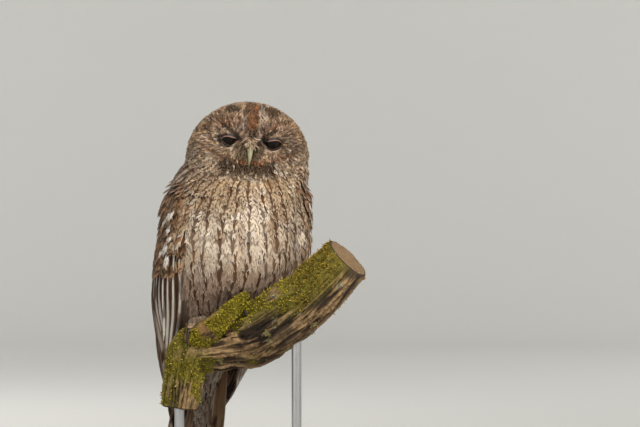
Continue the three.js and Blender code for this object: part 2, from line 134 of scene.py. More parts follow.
def noise(p: Array, size: float, seed: int = 0, octaves: int = 1) -> Array:
    """Value noise: random numbers on a cubic lattice, blended by soft steps, summed over octaves.

    Args:
        p: Points.
        size: Width of a lattice cell.
        seed: Which noise.
        octaves: Layers, each half as wide and half as strong as the last.

    Returns:
        A number from -1 to 1 for each point.
    """
    total, strength = np.zeros(p.shape[:-1]), 1.0
    for octave in range(octaves):
        q = p / (size * 0.5**octave)
        cell = np.floor(q).astype(np.int64)
        t = smooth(q - cell, 0, 1)
        layer = np.zeros(p.shape[:-1])
        for corner in np.ndindex(2, 2, 2):
            c = cell + np.array(corner)
            h = np.bitwise_xor.reduce(c * LATTICE_PRIMES, axis=-1)
            h = (h ^ (seed + octave) * SEED_PRIME) & WORD
            h = ((h ^ (h >> 15)) * SCRAMBLE_PRIMES[0]) & WORD
            h = ((h ^ (h >> 13)) * SCRAMBLE_PRIMES[1]) & WORD
            value = ((h ^ (h >> 16)) & 0xFFFF) / 65535.0
            layer += value * np.prod(np.where(np.array(corner) == 1, t, 1.0 - t), axis=-1)
        total += strength * (2.0 * layer - 1.0)
        strength *= 0.5
    return total / (2.0 - 2.0 * 0.5**octaves)


# ---------- the owl's form ----------


@dataclass(frozen=True)
class Levels:
    """A table of levels, top first, that is read on a smooth curve through its rows."""

    names: str
    rows: tuple[tuple[float, ...], ...]

    def at(self, name: str, z: Array) -> Array:
        """One column at each height, on a Hermite curve whose slopes come from the rows either side.

        Args:
            name: The column.
            z: The heights.

        Returns:
            The column's values.
        """
        table = np.array(self.rows)[::-1]
        heights, values = table[:, 0], table[:, self.names.split().index(name)]
        last = len(heights) - 1
        below = np.maximum(np.arange(last + 1) - 1, 0)
        above = np.minimum(np.arange(last + 1) + 1, last)
        slopes = (values[above] - values[below]) / (heights[above] - heights[below])
        i = np.clip(np.searchsorted(heights, z) - 1, 0, last - 1)
        span = heights[i + 1] - heights[i]
        t = np.clip((z - heights[i]) / span, 0.0, 1.0)
        return hermite(values, slopes, span, i, t)


TORSO = Levels(
    "z x y half front back turn",
    (
        (334, 16.5, -4, 62, 48, 50, 4),
        (316, 12.5, -3, 63.5, 49, 50, 8),
        (297, 8.5, -2, 66, 57, 54, 12),
        (265, 4.5, 0, 68.5, 64, 58, 14),
        (230, 0.5, 0, 70, 64, 58, 14),
        (205, -4, 3, 66, 58, 54, 14),
        (180, -12, 11, 62, 49, 46, 14),
        (150, -20, 25, 54, 42, 36, 14),
        (128, -26, 32, 42, 34, 28, 14),
    ),
)
WRAP = Levels(
    "z x y half front back turn",
    (
        (312, 10.5, -1, 63, 46, 51, 12),
        (297, 8, 0, 73, 54, 57, 13),
        (265, 4.5, 0, 77.5, 62, 63, 14),
        (230, 0.5, 2, 80, 60, 62, 14),
        (195, -7, 6, 76, 50, 57, 14),
        (165, -16, 15, 64, 26, 47, 14),
        (130, -25, 23, 49, 10, 36, 14),
        (90, -33, 30, 34, 8, 28, 14),
        (50, -39, 35, 22, 6, 23, 14),
    ),
)
WING = Levels(
    "z fore aft thick",
    (
        (312, 84, 98, 4),
        (297, 64, 128, 9),
        (265, 55, 148, 12),
        (230, 50, 160, 12),
        (195, 44, 169, 10),
        (165, 43, 173, 8),
        (130, 52, 172, 7),
        (90, 76, 166, 5.5),
        (50, 128, 150, 3),
    ),
)
CHEEK_Z, DOME = 334.0, 56.5
BELLY_Z, BELLY_DROP = 215.0, 88.0
ROUND = 2.15


def section_point(table: Levels, z: Array, turn: Array) -> Array:
    """Points on a level's section, a squared ellipse, some degrees round from the breast.

    Args:
        table: TORSO or WRAP.
        z: Heights.
        turn: Degrees from the breast towards the viewer's right.

    Returns:
        The points.
    """
    a = np.radians(turn)
    s, c = np.sin(a), np.cos(a)
    square = (np.abs(s) ** ROUND + np.abs(c) ** ROUND) ** (-1.0 / ROUND)
    side = table.at("half", z) * s * square
    ahead = np.where(c > 0, table.at("front", z), table.at("back", z)) * c * square
    yaw = np.radians(table.at("turn", z))
    x = table.at("x", z) + side * np.cos(yaw) + ahead * np.sin(yaw)
    y = table.at("y", z) + side * np.sin(yaw) - ahead * np.cos(yaw)
    return vec(x, y, z)


def section_reach(table: Levels, p: Array) -> tuple[Array, Array]:
    """How far out points lie in their level's section, and how far round.

    Args:
        table: TORSO or WRAP.
        p: Points.

    Returns:
        The reach, 1 on the section, and the turn in degrees.
    """
    z = np.minimum(p[..., 2], table.rows[0][0])
    yaw = np.radians(table.at("turn", z))
    x, y = p[..., 0] - table.at("x", z), p[..., 1] - table.at("y", z)
    side = (x * np.cos(yaw) + y * np.sin(yaw)) / table.at("half", z)
    ahead = x * np.sin(yaw) - y * np.cos(yaw)
    ahead = ahead / np.where(ahead > 0, table.at("front", z), table.at("back", z))
    reach = (np.abs(side) ** ROUND + np.abs(ahead) ** ROUND + 1e-12) ** (1.0 / ROUND)
    return reach, np.degrees(np.arctan2(side, ahead))


def rotation(axis: int, degrees: float) -> Array:
    """The matrix of a turn about one axis.

    Args:
        axis: 0, 1 or 2 for x, y or z.
        degrees: How far to turn.

    Returns:
        The matrix.
    """
    turn, (i, j) = np.eye(3), ((axis + 1) % 3, (axis + 2) % 3)
    turn[i, i] = turn[j, j] = math.cos(math.radians(degrees))
    turn[j, i] = math.sin(math.radians(degrees))
    turn[i, j] = -turn[j, i]
    return turn


def turn_of(p: Array) -> Array:
    """How far round from the breast points of the body lie, in degrees."""
    return section_reach(TORSO, p)[1]


@dataclass(frozen=True)
class Face:
    """The face's own frame: x to the viewer's right, -y out of the face, z up the forehead."""

    place: Triple = (20.7, -50.0, 349.3)
    turn: float = 4.0
    nod: float = 6.0
    tilt: float = 5.0
    eye_apart: float = 42.6
    eye_up: float = 1.2
    dip: float = 6.0
    radius: float = 30.0
    rim: float = 2.6
    rim_width: float = 5.0
    ridge: float = 2.6
    ridge_width: float = 7.0

    @cache
    def axes(self) -> Array:
        """The frame's x, y and z in a matrix's columns: turned about z, nodded about x, tilted about y."""
        return rotation(2, self.turn) @ rotation(0, self.nod) @ rotation(1, self.tilt)

    def inward(self, p: Array) -> Array:
        """Points of the model in the face's frame."""
        return (p - np.array(self.place)) @ self.axes()

    def outward(self, f: Array) -> Array:
        """Points of the face's frame in the model."""
        return f @ self.axes().T + np.array(self.place)

    def eye_reach(self, f: Array) -> Array:
        """Distances from the nearer eye in the plane of the face."""
        return np.hypot(np.abs(f[..., 0]) - self.eye_apart / 2, f[..., 2] - self.eye_up)

    def relief(self, f: Array) -> Array:
        """How far the disc stands out: a dish round each eye, a raised rim, and a ridge over the bill.

        Args:
            f: Points in the face's frame.

        Returns:
            Heights over the plain form, in millimetres.
        """
        facing = 1.0 - smooth(f[..., 1], 16, 34)
        reach, x = self.eye_reach(f), f[..., 0]
        dish = -self.dip * np.maximum(0, 1.0 - (reach / self.radius) ** 2) ** 2
        rim = self.rim * bell(reach, self.radius + 3.0, self.rim_width) * smooth(np.abs(x), 6, 20)
        ridge = self.ridge * bell(x, 0, self.ridge_width) * smooth(f[..., 2], -26, -8)
        return (dish + rim + ridge) * facing


FACE = Face()


class Form:
    """A closed surface given by a measure that is 1 on it, less inside and more outside."""

    def measure(self, p: Array) -> Array:
        """The measure at points of shape (..., 3)."""
        raise NotImplementedError

    def slope(self, p: Array) -> Array:
        """The measure's gradient, by small steps along x, y and z.

        Args:
            p: Points.

        Returns:
            One vector for each point.
        """
        step, here = 0.25, self.measure(p)
        ahead = [self.measure(p + step * axis) for axis in np.eye(3)]
        return (np.stack(ahead, -1) - here[..., None]) / step

    def normal(self, p: Array) -> Array:
        """Unit vectors straight out of the surface."""
        return unit(self.slope(p))

    def snap(self, p: Array, height: Array | float = 0.0, rounds: int = 3) -> Array:
        """Points moved along the gradient, by Newton steps, until they stand at a height over the surface.

        Args:
            p: Points.
            height: Height over the surface.
            rounds: Newton steps.

        Returns:
            The moved points.
        """
        for _ in range(rounds):
            slope = self.slope(p)
            steep = np.linalg.norm(slope, axis=-1)
            off = (self.measure(p) - 1.0) / steep - height
            p = p - (slope / steep[..., None]) * off[..., None]
        return p


class BodyForm(Form):
    """The head, neck and trunk with the folded wings at their sides, out to the tips of the coat."""

    def measure(self, p: Array) -> Array:
        """The torso's measure, blended into the wing's surface where a wing lies.

        Args:
            p: Points.

        Returns:
            The measure, 1 on the body.
        """
        q = p + FACE.relief(FACE.inward(p))[..., None] * FACE.axes()[:, 1]
        up = np.maximum(0, (q[..., 2] - CHEEK_Z) / DOME)
        down = np.clip((BELLY_Z - q[..., 2]) / BELLY_DROP, 0.0, 3.0)
        torso = np.sqrt(section_reach(TORSO, q)[0] ** 2 + up**2 + down**2)
        wrap, turn = section_reach(WRAP, p)
        return mix(torso, wrap, self.wing_share(p[..., 2], np.abs(turn)))

    @staticmethod
    def wing_share(z: Array, turn: Array) -> Array:
        """1 on the wings, 0 off them, with soft steps over the wing's edges.

        Args:
            z: Heights.
            turn: Degrees from the breast, to either side.

        Returns:
            A share for each point.
        """
        fore, aft = WING.at("fore", z), WING.at("aft", z)
        over = smooth(turn, fore - 13.0, fore + 1.0) * (1.0 - smooth(turn, aft - 3.0, aft + 9.0))
        return over * (1.0 - smooth(z, 296, 311))


class WrapForm(Form):
    """The surface that the folded wings lie on."""

    def measure(self, p: Array) -> Array:
        """The reach of the wing surface's own sections."""
        return section_reach(WRAP, p)[0]


BODY, WINGS = BodyForm(), WrapForm()


# ---------- meshes ----------


def grid_faces(rows: int, columns: int, closed: bool = False) -> Array:
    """Quads of a grid of points stored row by row.

    Args:
        rows: Points down the grid.
        columns: Points across it.
        closed: Whether the last column joins the first.

    Returns:
        The quads.
    """
    across = columns if closed else columns - 1
    i, j = np.meshgrid(np.arange(rows - 1), np.arange(across), indexing="ij")
    k = (j + 1) % columns
    quads = vec(i * columns + j, (i + 1) * columns + j, (i + 1) * columns + k, i * columns + k)
    return quads.reshape(-1, 4)


def fan_faces(ring: Array, middle: int) -> Array:
    """Triangles from a closed ring of point indices to one middle point."""
    return vec(ring, np.roll(ring, -1), middle)


@dataclass
class Shape:
    """Points in millimetres, faces, and what is stored with each point."""

    points: Array
    faces: Faces
    maps: dict[str, Array] = field(default_factory=dict)
    colours: dict[str, Array] = field(default_factory=dict)

    @staticmethod
    def join(shapes: list[Shape]) -> Shape:
        """Several shapes as one, with their faces renumbered and their maps and colours kept.

        Args:
            shapes: Shapes with the same maps and colours.

        Returns:
            The one shape.
        """
        offsets = np.cumsum([0] + [len(s.points) for s in shapes[:-1]])
        faces = [f + o for s, o in zip(shapes, offsets) for f in s.faces]
        maps = {k: np.concatenate([s.maps[k] for s in shapes]) for k in shapes[0].maps}
        colours = {k: np.concatenate([s.colours[k] for s in shapes]) for k in shapes[0].colours}
        return Shape(np.concatenate([s.points for s in shapes]), faces, maps, colours)

    def outwards(self) -> Shape:
        """The same shape with its faces turned so that its volume is positive.

        Returns:
            This shape.
        """
        volume = 0.0
        for f in self.faces:
            a, b = self.points[f[:, 0]], self.points[f[:, 1]]
            for k in range(2, f.shape[1]):
                c = self.points[f[:, k]]
                volume += float((a * np.cross(b, c)).sum())
                b = c
        if volume < 0:
            self.faces = [f[:, ::-1] for f in self.faces]
        return self

    def tinted(self, colour: Array) -> Shape:
        """The same shape with Ground stored: one colour, one for each point, or one for each of a loft's.

        Args:
            colour: The colour or colours.

        Returns:
            This shape.
        """
        if colour.ndim == 3:
            colour = np.concatenate([colour.reshape(-1, 3), colour[[0, -1], 0]])
        self.colours["Ground"] = np.broadcast_to(colour, self.points.shape).copy()
        return self


def add(name: str, data: bpy.types.ID) -> bpy.types.Object:
    """A new object in the scene.

    Args:
        name: Its name.
        data: Its mesh, light or camera.

    Returns:
        The object.
    """
    made = bpy.data.objects.new(name, data)
    bpy.context.scene.collection.objects.link(made)
    return made


def publish(name: str, shape: Shape, finish: Finish, crease: float = 40.0) -> bpy.types.Object:
    """Puts a shape into the scene as one piece that rides on the body.

    Args:
        name: The piece's name.
        shape: The shape.
        finish: Its finish.
        crease: Edges sharper than this many degrees stay sharp.

    Returns:
        The new object.
    """
    mesh = bpy.data.meshes.new(name)
    sizes = np.concatenate([np.full(len(f), f.shape[1]) for f in shape.faces])
    loops = np.concatenate([f.ravel() for f in shape.faces]).astype(np.int32)
    starts = np.concatenate([[0], np.cumsum(sizes)[:-1]]).astype(np.int32)
    mesh.vertices.add(len(shape.points))
    mesh.loops.add(len(loops))
    mesh.polygons.add(len(sizes))
    mesh.vertices.foreach_set("co", (shape.points * MM).astype(np.float32).ravel())
    mesh.loops.foreach_set("vertex_index", loops)
    mesh.polygons.foreach_set("loop_start", starts)
    mesh.update(calc_edges=True)
    for key, uv in shape.maps.items():
        layer = mesh.uv_layers.new(name=key, do_init=False)
        layer.uv.foreach_set("vector", uv[loops].astype(np.float32).ravel())
    for key, colour in shape.colours.items():
        rgba = np.concatenate([colour, np.ones((len(colour), 1))], -1)
        layer = mesh.color_attributes.new(key, "FLOAT_COLOR", "POINT")
        layer.data.foreach_set("color", rgba.astype(np.float32).ravel())
    mesh.polygons.foreach_set("use_smooth", np.ones(len(sizes), bool))
    mesh.set_sharp_from_angle(angle=math.radians(crease))
    mesh.materials.append(finish.material())
    piece = add(name, mesh)
    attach(piece, "root")
    LOG.info("%s: %d faces", name, len(sizes))
    return piece


# ---------- finishes ----------

WHITE = vec(0.72, 0.61, 0.49)
CREAM = vec(0.60, 0.43, 0.27)
BUFF = vec(0.42, 0.265, 0.15)
GREY = vec(0.38, 0.26, 0.185)
RUFOUS = vec(0.26, 0.095, 0.030)
BROWN = vec(0.10, 0.046, 0.022)
DARK = vec(0.022, 0.012, 0.008)


class Wire:
    """An output of a shader node. Arithmetic on it adds nodes to its graph."""

    def __init__(self, graph: Graph, socket: bpy.types.NodeSocket) -> None:
        """Keeps the graph and the socket."""
        self.graph, self.socket = graph, socket

    def __add__(self, other: Value) -> Wire:
        """Sum."""
        return self.graph.math("ADD", self, other)

    def __sub__(self, other: Value) -> Wire:
        """Difference."""
        return self.graph.math("SUBTRACT", self, other)

    def __rsub__(self, other: Value) -> Wire:
        """Difference, from a number."""
        return self.graph.math("SUBTRACT", other, self)

    def __mul__(self, other: Value) -> Wire:
        """Product."""
        return self.graph.math("MULTIPLY", self, other)

    def max(self, other: Value) -> Wire:
        """The greater of the two."""
        return self.graph.math("MAXIMUM", self, other)

    def size(self) -> Wire:
        """Absolute value."""
        return self.graph.math("ABSOLUTE", self)

    def fraction(self) -> Wire:
        """What is left over the whole number."""
        return self.graph.math("FRACT", self)

    def step(self, low: Value, high: Value) -> Wire:
        """A soft step from 0 at low to 1 at high."""
        inputs = {0: self, 1: low, 2: high}
        return self.graph.node("ShaderNodeMapRange", inputs, interpolation_type="SMOOTHSTEP")


Value = Wire | float | tuple[float, ...]


class Graph:
    """A material's shader graph, built from the inputs to the surface."""

    def __init__(self, name: str) -> None:
        """Starts an empty material.

        Args:
            name: The material's name.
        """
        self.material = bpy.data.materials.new(name)
        self.material.use_nodes = True
        self.nodes = self.material.node_tree.nodes
        self.links = self.material.node_tree.links
        self.nodes.clear()

    def node(self, kind: str, inputs: dict[int | str, Value], output: int = 0, **settings: object) -> Wire:
        """Adds a node.

        Args:
            kind: Blender's name for it.
            inputs: Wires or constants by the input's number or name.
            output: Which output to return.
            **settings: The node's properties.

        Returns:
            The chosen output.
        """
        made = self.nodes.new(kind)
        for key, value in settings.items():
            setattr(made, key, value)
        for key, value in inputs.items():
            if isinstance(value, Wire):
                self.links.new(value.socket, made.inputs[key])
            else:
                made.inputs[key].default_value = value
        return Wire(self, made.outputs[output] if made.outputs else None)

    def math(self, kind: str, *values: Value) -> Wire:
        """A math node of one or two inputs."""
        return self.node("ShaderNodeMath", dict(enumerate(values)), operation=kind)

    def blend(self, a: Value, b: Value, share: Value, kind: str = "MIX") -> Wire:
        """Two colours mixed by a share, or combined in another way by as much."""
        a, b = ((*c, 1.0) if isinstance(c, tuple) else c for c in (a, b))
        return self.node("ShaderNodeMix", {0: share, 6: a, 7: b}, 2, data_type="RGBA", blend_type=kind)

    def noise(self, place: Value, scale: float, detail: float = 2.0, rough: float = 0.5) -> Wire:
        """Fractal noise, about 0.5."""
        inputs = {"Vector": place, "Scale": scale, "Detail": detail, "Roughness": rough}
        return self.node("ShaderNodeTexNoise", inputs)

    def stored(self, name: str) -> Wire:
        """A colour or vector stored with the points."""
        return self.node("ShaderNodeAttribute", {}, attribute_name=name)

    def split(self, vector: Wire) -> tuple[Wire, Wire, Wire]:
        """The three parts of a vector."""
        first = self.node("ShaderNodeSeparateXYZ", {0: vector})
        return first, *(Wire(self, first.socket.node.outputs[i]) for i in (1, 2))

    def join(self, x: Value, y: Value, z: Value) -> Wire:
        """A vector from three numbers."""
        return self.node("ShaderNodeCombineXYZ", {0: x, 1: y, 2: z})

    def uv(self, name: str) -> Wire:
        """The piece's own UV map of that name."""
        return self.node("ShaderNodeUVMap", {}, uv_map=name)

    def place(self) -> Wire:
        """Object coordinates, in metres."""
        return self.node("ShaderNodeTexCoord", {}, 3)

    def stretched(self, vector: Wire, scale: Triple) -> Wire:
        """A vector times another, part by part."""
        return self.node("ShaderNodeVectorMath", {0: vector, 1: scale}, operation="MULTIPLY")

    def shaded(self, colour: Value, shade: Wire) -> Wire:
        """A colour times a grey."""
        return self.blend(colour, self.join(shade, shade, shade), 1.0, "MULTIPLY")

    def surface(
        self, colour: Value, rough: Value, height: Wire | None = None, relief: float = 0.2, **more: float
    ) -> Material:
        """Closes the graph with one principled surface.

        Args:
            colour: Base colour.
            rough: Roughness.
            height: Fine relief from 0 to 1.
            relief: Height of the relief in millimetres.
            **more: Other inputs' constants, by name, with _ for a space.

        Returns:
            The finished material.
        """
        inputs: dict[int | str, Value] = {"Base Color": colour, "Roughness": rough}
        if height is not None:
            inputs["Normal"] = self.node(
                "ShaderNodeBump", {"Height": height, "Distance": relief * MM, "Strength": 1.0}
            )
        inputs |= {key.replace("_", " "): value for key, value in more.items()}
        shader = self.node("ShaderNodeBsdfPrincipled", inputs)
        self.node("ShaderNodeOutputMaterial", {0: shader})
        return self.material


class Finish:
    """A finish of pieces, whose material is made when the first of them takes it."""

    @cache
    def material(self) -> Material:
        """The finish's one material."""
        return self.make()

    def make(self) -> Material:
        """Builds the material."""
        raise NotImplementedError


@dataclass(frozen=True)
class VaneFinish(Finish):
    """A feather's vane: a dark shaft streak, bent cross bars, a pale fringe, fine barbs, and painted shade
    towards its root.
    """

    name: str
    dark: Triple
    fringe: Triple
    streak: float = 0.13
    bars: float = 3.0
    bend: float = 0.5
    bar_share: float = 0.34
    fringe_share: float = 0.5
    barbs: float = 26.0
    lead: float = 0.0
    # how much painted shade darkens the vane towards its root, where the feathers over it would shade it
    hollow: float = 0.55

    def make(self) -> Material:
        """Streak and bars are soft steps of the place across and along the vane, moved about by noise.

        Marks holds the strength of the streak, that of the bars, and a number that differs between feathers.

        Returns:
            The material.
        """
        g = Graph(self.name)
        across, along, _ = g.split(g.uv("Vane"))
        streaked, barred, tone = g.split(g.stored("Marks"))
        side = (across * 2.0) - 1.0
        edge = side.size()
        wander = g.noise(g.join(side * 1.3, along * 3.5, tone * 31.0), 1.0, 3.0) - 0.5
        width = (1.25 - along * 0.5) * self.streak
        streak = (1.0 - (side + wander * 0.7).size().step(width * 0.6, width * 1.25)) * streaked
        wave = (along * self.bars + edge * self.bend + wander * 1.5 + tone * 3.0).fraction()
        bar = ((wave - 0.5).size() * 2.0).step(1.0 - self.bar_share * 1.3, 1.0 - self.bar_share * 0.6)
        bar = bar * barred * (1.0 - edge.step(0.7, 1.0)) * (wander + 0.5).step(0.2, 0.55)
        marks = streak.max(bar)
        barb = g.math("SINE", (along * self.barbs - edge * self.barbs * 0.25 + wander * 2.0) * 6.283)
        grain = g.noise(g.join(side * 2.0, along * 9.0, tone * 57.0), 2.0, 3.0)
        shade = barb * 0.05 + grain * 0.34 + 0.84
        rim = edge.max(along).step(0.72, 1.0) * (1.0 - marks) * self.fringe_share
        web = (side + wander * 0.25 - 0.62).size()
        rim = rim.max((1.0 - web.step(0.14, 0.26)) * (1.0 - bar) * streaked * self.lead)
        colour = g.blend(g.blend(g.stored("Ground"), self.fringe, rim), self.dark, marks * 0.96)
        # painted shade: the vane darkens towards its root, where the feathers over it would shade it
        depth = along.step(0.0, 0.55) * self.hollow + (1.0 - self.hollow)
        more = {"Specular_IOR_Level": 0.1, "Sheen_Weight": 0.03, "Sheen_Roughness": 0.5}
        return g.surface(g.shaded(colour, shade * depth), 0.74, barb * 0.3 + grain, 0.25, **more)


@dataclass(frozen=True)
class GrainFinish(Finish):
    """Skin and weathered wood: the stored colour, shaded and raised by a coarse and a fine noise."""

    name: str
    coarse: Triple  # scale, detail and roughness of the noise
    fine: Triple
    shade: Triple  # strength of the coarse, that of the fine, and what is left without them
    rough: float
    rough_fine: float
    raised: float
    relief: float
    gloss: float

    def make(self) -> Material:
        """Both noises are in object coordinates.

        Returns:
            The material.
        """
        g = Graph(self.name)
        place = g.place()
        coarse, fine = g.noise(place, *self.coarse), g.noise(place, *self.fine)
        shade = coarse * self.shade[0] + fine * self.shade[1] + self.shade[2]
        rough = fine * self.rough_fine + self.rough
        height = coarse + fine * self.raised
        colour = g.shaded(g.stored("Ground"), shade)
        return g.surface(colour, rough, height, self.relief, Specular_IOR_Level=self.gloss)


@dataclass(frozen=True)
class MossFinish(Finish):
    """Moss: the stored green, lighter at the tips of its shoots."""

    name: str = "moss"

    def make(self) -> Material:
        """The place along each shoot lightens it, and noise turns patches yellow.

        Returns:
            The material.
        """
        g = Graph(self.name)
        _, along, _ = g.split(g.uv("Vane"))
        patch = g.noise(g.place(), 90.0, 3.0).step(0.4, 0.65)
        colour = g.blend(g.stored("Ground"), (0.34, 0.27, 0.03), patch * 0.5)
        # darker down each shoot: partly the browner old growth, partly painted shade down in the mat
        shade = along * 1.25 + 0.12
        colour = g.shaded(colour, shade)
        return g.surface(colour, 0.7, g.noise(g.place(), 3000.0), 0.1, Specular_IOR_Level=0.3)


@dataclass(frozen=True)
class GlossFinish(Finish):
    """Horn, claw and eye: the stored colour under a smooth gloss, with faint growth lines."""

    name: str
    rough: float
    lines: float
    gloss: float = 0.5

    def make(self) -> Material:
        """Noise stretched across the growth shades the colour and lifts fine lines.

        Returns:
            The material.
        """
        g = Graph(self.name)
        lines = g.noise(g.stretched(g.place(), (260.0, 260.0, 1300.0)), 1.0, 3.0)
        shade = lines * self.lines + (1.0 - self.lines / 2)
        colour = g.shaded(g.stored("Ground"), shade)
        rough = lines * 0.12 * self.lines + self.rough
        return g.surface(colour, rough, lines, 0.1 * self.lines, Specular_IOR_Level=self.gloss)


@dataclass(frozen=True)
class LacquerFinish(Finish):
    """The base: dark close-grained wood under satin lacquer."""

    name: str = "lacquered_wood"

    def make(self) -> Material:
        """Grain is noise stretched along x, with pores of finer noise.

        Returns:
            The material.
        """
        g = Graph(self.name)
        grain = g.noise(g.stretched(g.place(), (9.0, 160.0, 160.0)), 1.0, 5.0, 0.6)
        pores = g.noise(g.stretched(g.place(), (60.0, 1400.0, 1400.0)), 1.0, 2.0).step(0.6, 0.75)
        colour = g.blend((0.032, 0.017, 0.010), (0.095, 0.050, 0.027), grain.step(0.3, 0.7))
        colour = g.blend(colour, (0.015, 0.009, 0.006), pores * 0.6)
        return g.surface(colour, grain * 0.1 + 0.3, pores * -1.0, 0.08, Coat_Weight=0.35, Coat_Roughness=0.22)


@dataclass(frozen=True)
class SteelFinish(Finish):
    """The rods: steel brushed round."""

    name: str = "brushed_steel"

    def make(self) -> Material:
        """Noise stretched round the rod varies the tone and roughness.

        Returns:
            The material.
        """
        g = Graph(self.name)
        brush = g.noise(g.stretched(g.place(), (40.0, 40.0, 5200.0)), 1.0, 3.0)
        colour = g.blend((0.40, 0.41, 0.42), (0.60, 0.60, 0.61), brush)
        return g.surface(colour, brush * 0.2 + 0.24, brush, 0.02, Metallic=1.0)


@dataclass(frozen=True)
class PaperFinish(Finish):
    """The floor: pale matt paper with a slight tooth."""

    name: str = "pale_paper"
    tone: Triple = (0.62, 0.62, 0.60)

    def make(self) -> Material:
        """Fine noise shades the tone a little and raises the tooth.

        Returns:
            The material.
        """
        g = Graph(self.name)
        tooth = g.noise(g.place(), 700.0, 3.0)
        colour = g.blend(self.tone, tuple(c * 0.96 for c in self.tone), tooth)
        return g.surface(colour, 0.85, tooth, 0.1)


PLUMAGE = VaneFinish("plumage", (0.066, 0.025, 0.010), tuple(WHITE), 0.44, 3.4, 0.9, 0.42, 0.25)
BELLY = VaneFinish("belly_plumage", (0.034, 0.015, 0.008), tuple(WHITE), 0.26, 3.0, 0.9, 0.34, 0.2)
MANTLE = VaneFinish("mantle_plumage", tuple(DARK), tuple(BUFF), 0.24, 3.0, 0.8, 0.36, 0.4)
CROWN = VaneFinish("crown_plumage", tuple(DARK), tuple(CREAM), streak=0.2, bars=2.0)
DISC = VaneFinish("face_plumage", (0.07, 0.042, 0.027), tuple(CREAM), 0.2, 2.0, 0.3, 0.3, 0.45)
COVERT = VaneFinish("wing_plumage", tuple(DARK), tuple(BUFF), 0.12, 2.5, 0.6, 0.4, 0.5)
FLIGHT = VaneFinish(
    "flight_plumage", tuple(DARK), (0.95, 0.89, 0.81), 0.06, 3.2, 0.25, 0.4, 0.15, 70.0, 1.0, 0.2
)
TOE = VaneFinish("toe_plumage", tuple(DARK), tuple(WHITE), 0.12, 2.0)
SKIN = GrainFinish("skin", (900.0, 3.0, 0.5), (2600.0, 2.0, 0.5), (0.5, 0.3, 0.62), 0.8, 0.0, 0.5, 0.2, 0.4)
BARE = replace(SKIN, name="bare_skin", rough=0.5)
BARK = GrainFinish(
    "weathered_wood", (260.0, 5.0, 0.62), (1500.0, 4.0, 0.6), (0.9, 0.7, 0.2), 0.62, 0.3, 1.0, 0.7, 0.3
)
MOSS = MossFinish()
CLAW, HORN = GlossFinish("claw_horn", 0.42, 0.5, 0.25), GlossFinish("bill_horn", 0.32, 0.35)
WET = GlossFinish("wet_eye", 0.06, 0.1, 0.16)


# ---------- feathers ----------


@dataclass(frozen=True)
class Cut:
    """How one kind of feather is cut and how it lies. Lengths are in millimetres, the rest are shares."""

    rows: int = 8
    columns: int = 5
    root: float = 0.45
    widest: float = 0.5
    tip: float = 0.22
    camber: float = 0.13
    depth: float = 5.0
    settle: float = 1.3
    ragged: float = 0.05
    veer: float = 0.07
    tilt: float = 0.0
    hand: float = 1.0
    barbs: int = 0
    barb: float = 0.3
    slant: float = 0.55
    barb_width: float = 0.55
    bare: float = 0.35
    local: float = 0.0

    def stations(self) -> Array:
        """Places along the vane, 0 at the root and 1 at the tip, crowded towards the tip."""
        return 1.0 - (1.0 - np.linspace(0, 1, self.rows)) ** 1.35

    def half(self, v: Array) -> Array:
        """Half width as a share of the greatest: it grows up to `widest`, then closes on a round tip.

        Args:
            v: Shares of the feather's length.

        Returns:
            Shares of the greatest half width.
        """
        closing = np.clip((v - self.widest) / (1.0 - self.widest), 0.0, 1.0)
        grown = mix(self.root, 1.0, smooth(v, 0, self.widest))
        return grown * np.sqrt(1.0 - (1.0 - self.tip**2) * closing**2.2)


@dataclass
class Batch:
    """Feathers to be laid: where each is rooted, its size, its colours and its place on the unwrap."""

    roots: Array
    length: Array
    width: Array
    ground: Array
    marks: Array
    unwrap: Array
    height: Array | float = 0.0

    def only(self, keep: Array) -> Batch:
        """The chosen feathers."""
        parts = {k: v[keep] if isinstance(v, np.ndarray) else v for k, v in vars(self).items()}
        return Batch(**parts)


def ribbons(grid: Array, x: Array, v: Array, ground: Array, marks: Array, unwrap: Array) -> Shape:
    """Closed thin vanes: each is an arched top, and a flat underside that joins its two edges.

    Args:
        grid: Top points, of shape (vanes, rows, columns, 3), rows along the vane.
        x: Place across, from -1 to 1.
        v: Place along, from 0 to 1.
        ground: A colour for each vane or for each of its points.
        marks: Strength of streak and bars, and a number, for each vane.
        unwrap: Each vane's place on the unwrap.

    Returns:
        One shape.
    """
    count, rows, columns, _ = grid.shape
    size = rows * columns
    if ground.ndim == 2:
        ground = np.repeat(ground[:, None], size, 1)
    top = grid_faces(rows, columns)
    k = np.arange(rows - 1) * columns
    under = vec(k, k + columns - 1, k + 2 * columns - 1, k + columns)
    j = np.arange(1, columns - 1)
    butt = vec(0, j, j + 1)
    end = vec(0, j + 1, j) + (rows - 1) * columns
    starts = (np.arange(count) * size)[:, None, None]
    faces = [(np.concatenate([top, under]) + starts).reshape(-1, 4)]
    faces.append((np.concatenate([butt, end]) + starts).reshape(-1, 3))
    spread = np.stack(np.broadcast_arrays(0.5 + 0.5 * x, v), -1)
    spread = np.broadcast_to(spread, (count, rows, columns, 2)).reshape(-1, 2)
    patch = np.repeat(unwrap, size, 0) + (spread - 0.5) * 0.003
    colours = {"Ground": ground.reshape(-1, 3), "Marks": np.repeat(marks, size, 0)}
    return Shape(grid.reshape(-1, 3), faces, {"Vane": spread, "OFBake": patch}, colours)


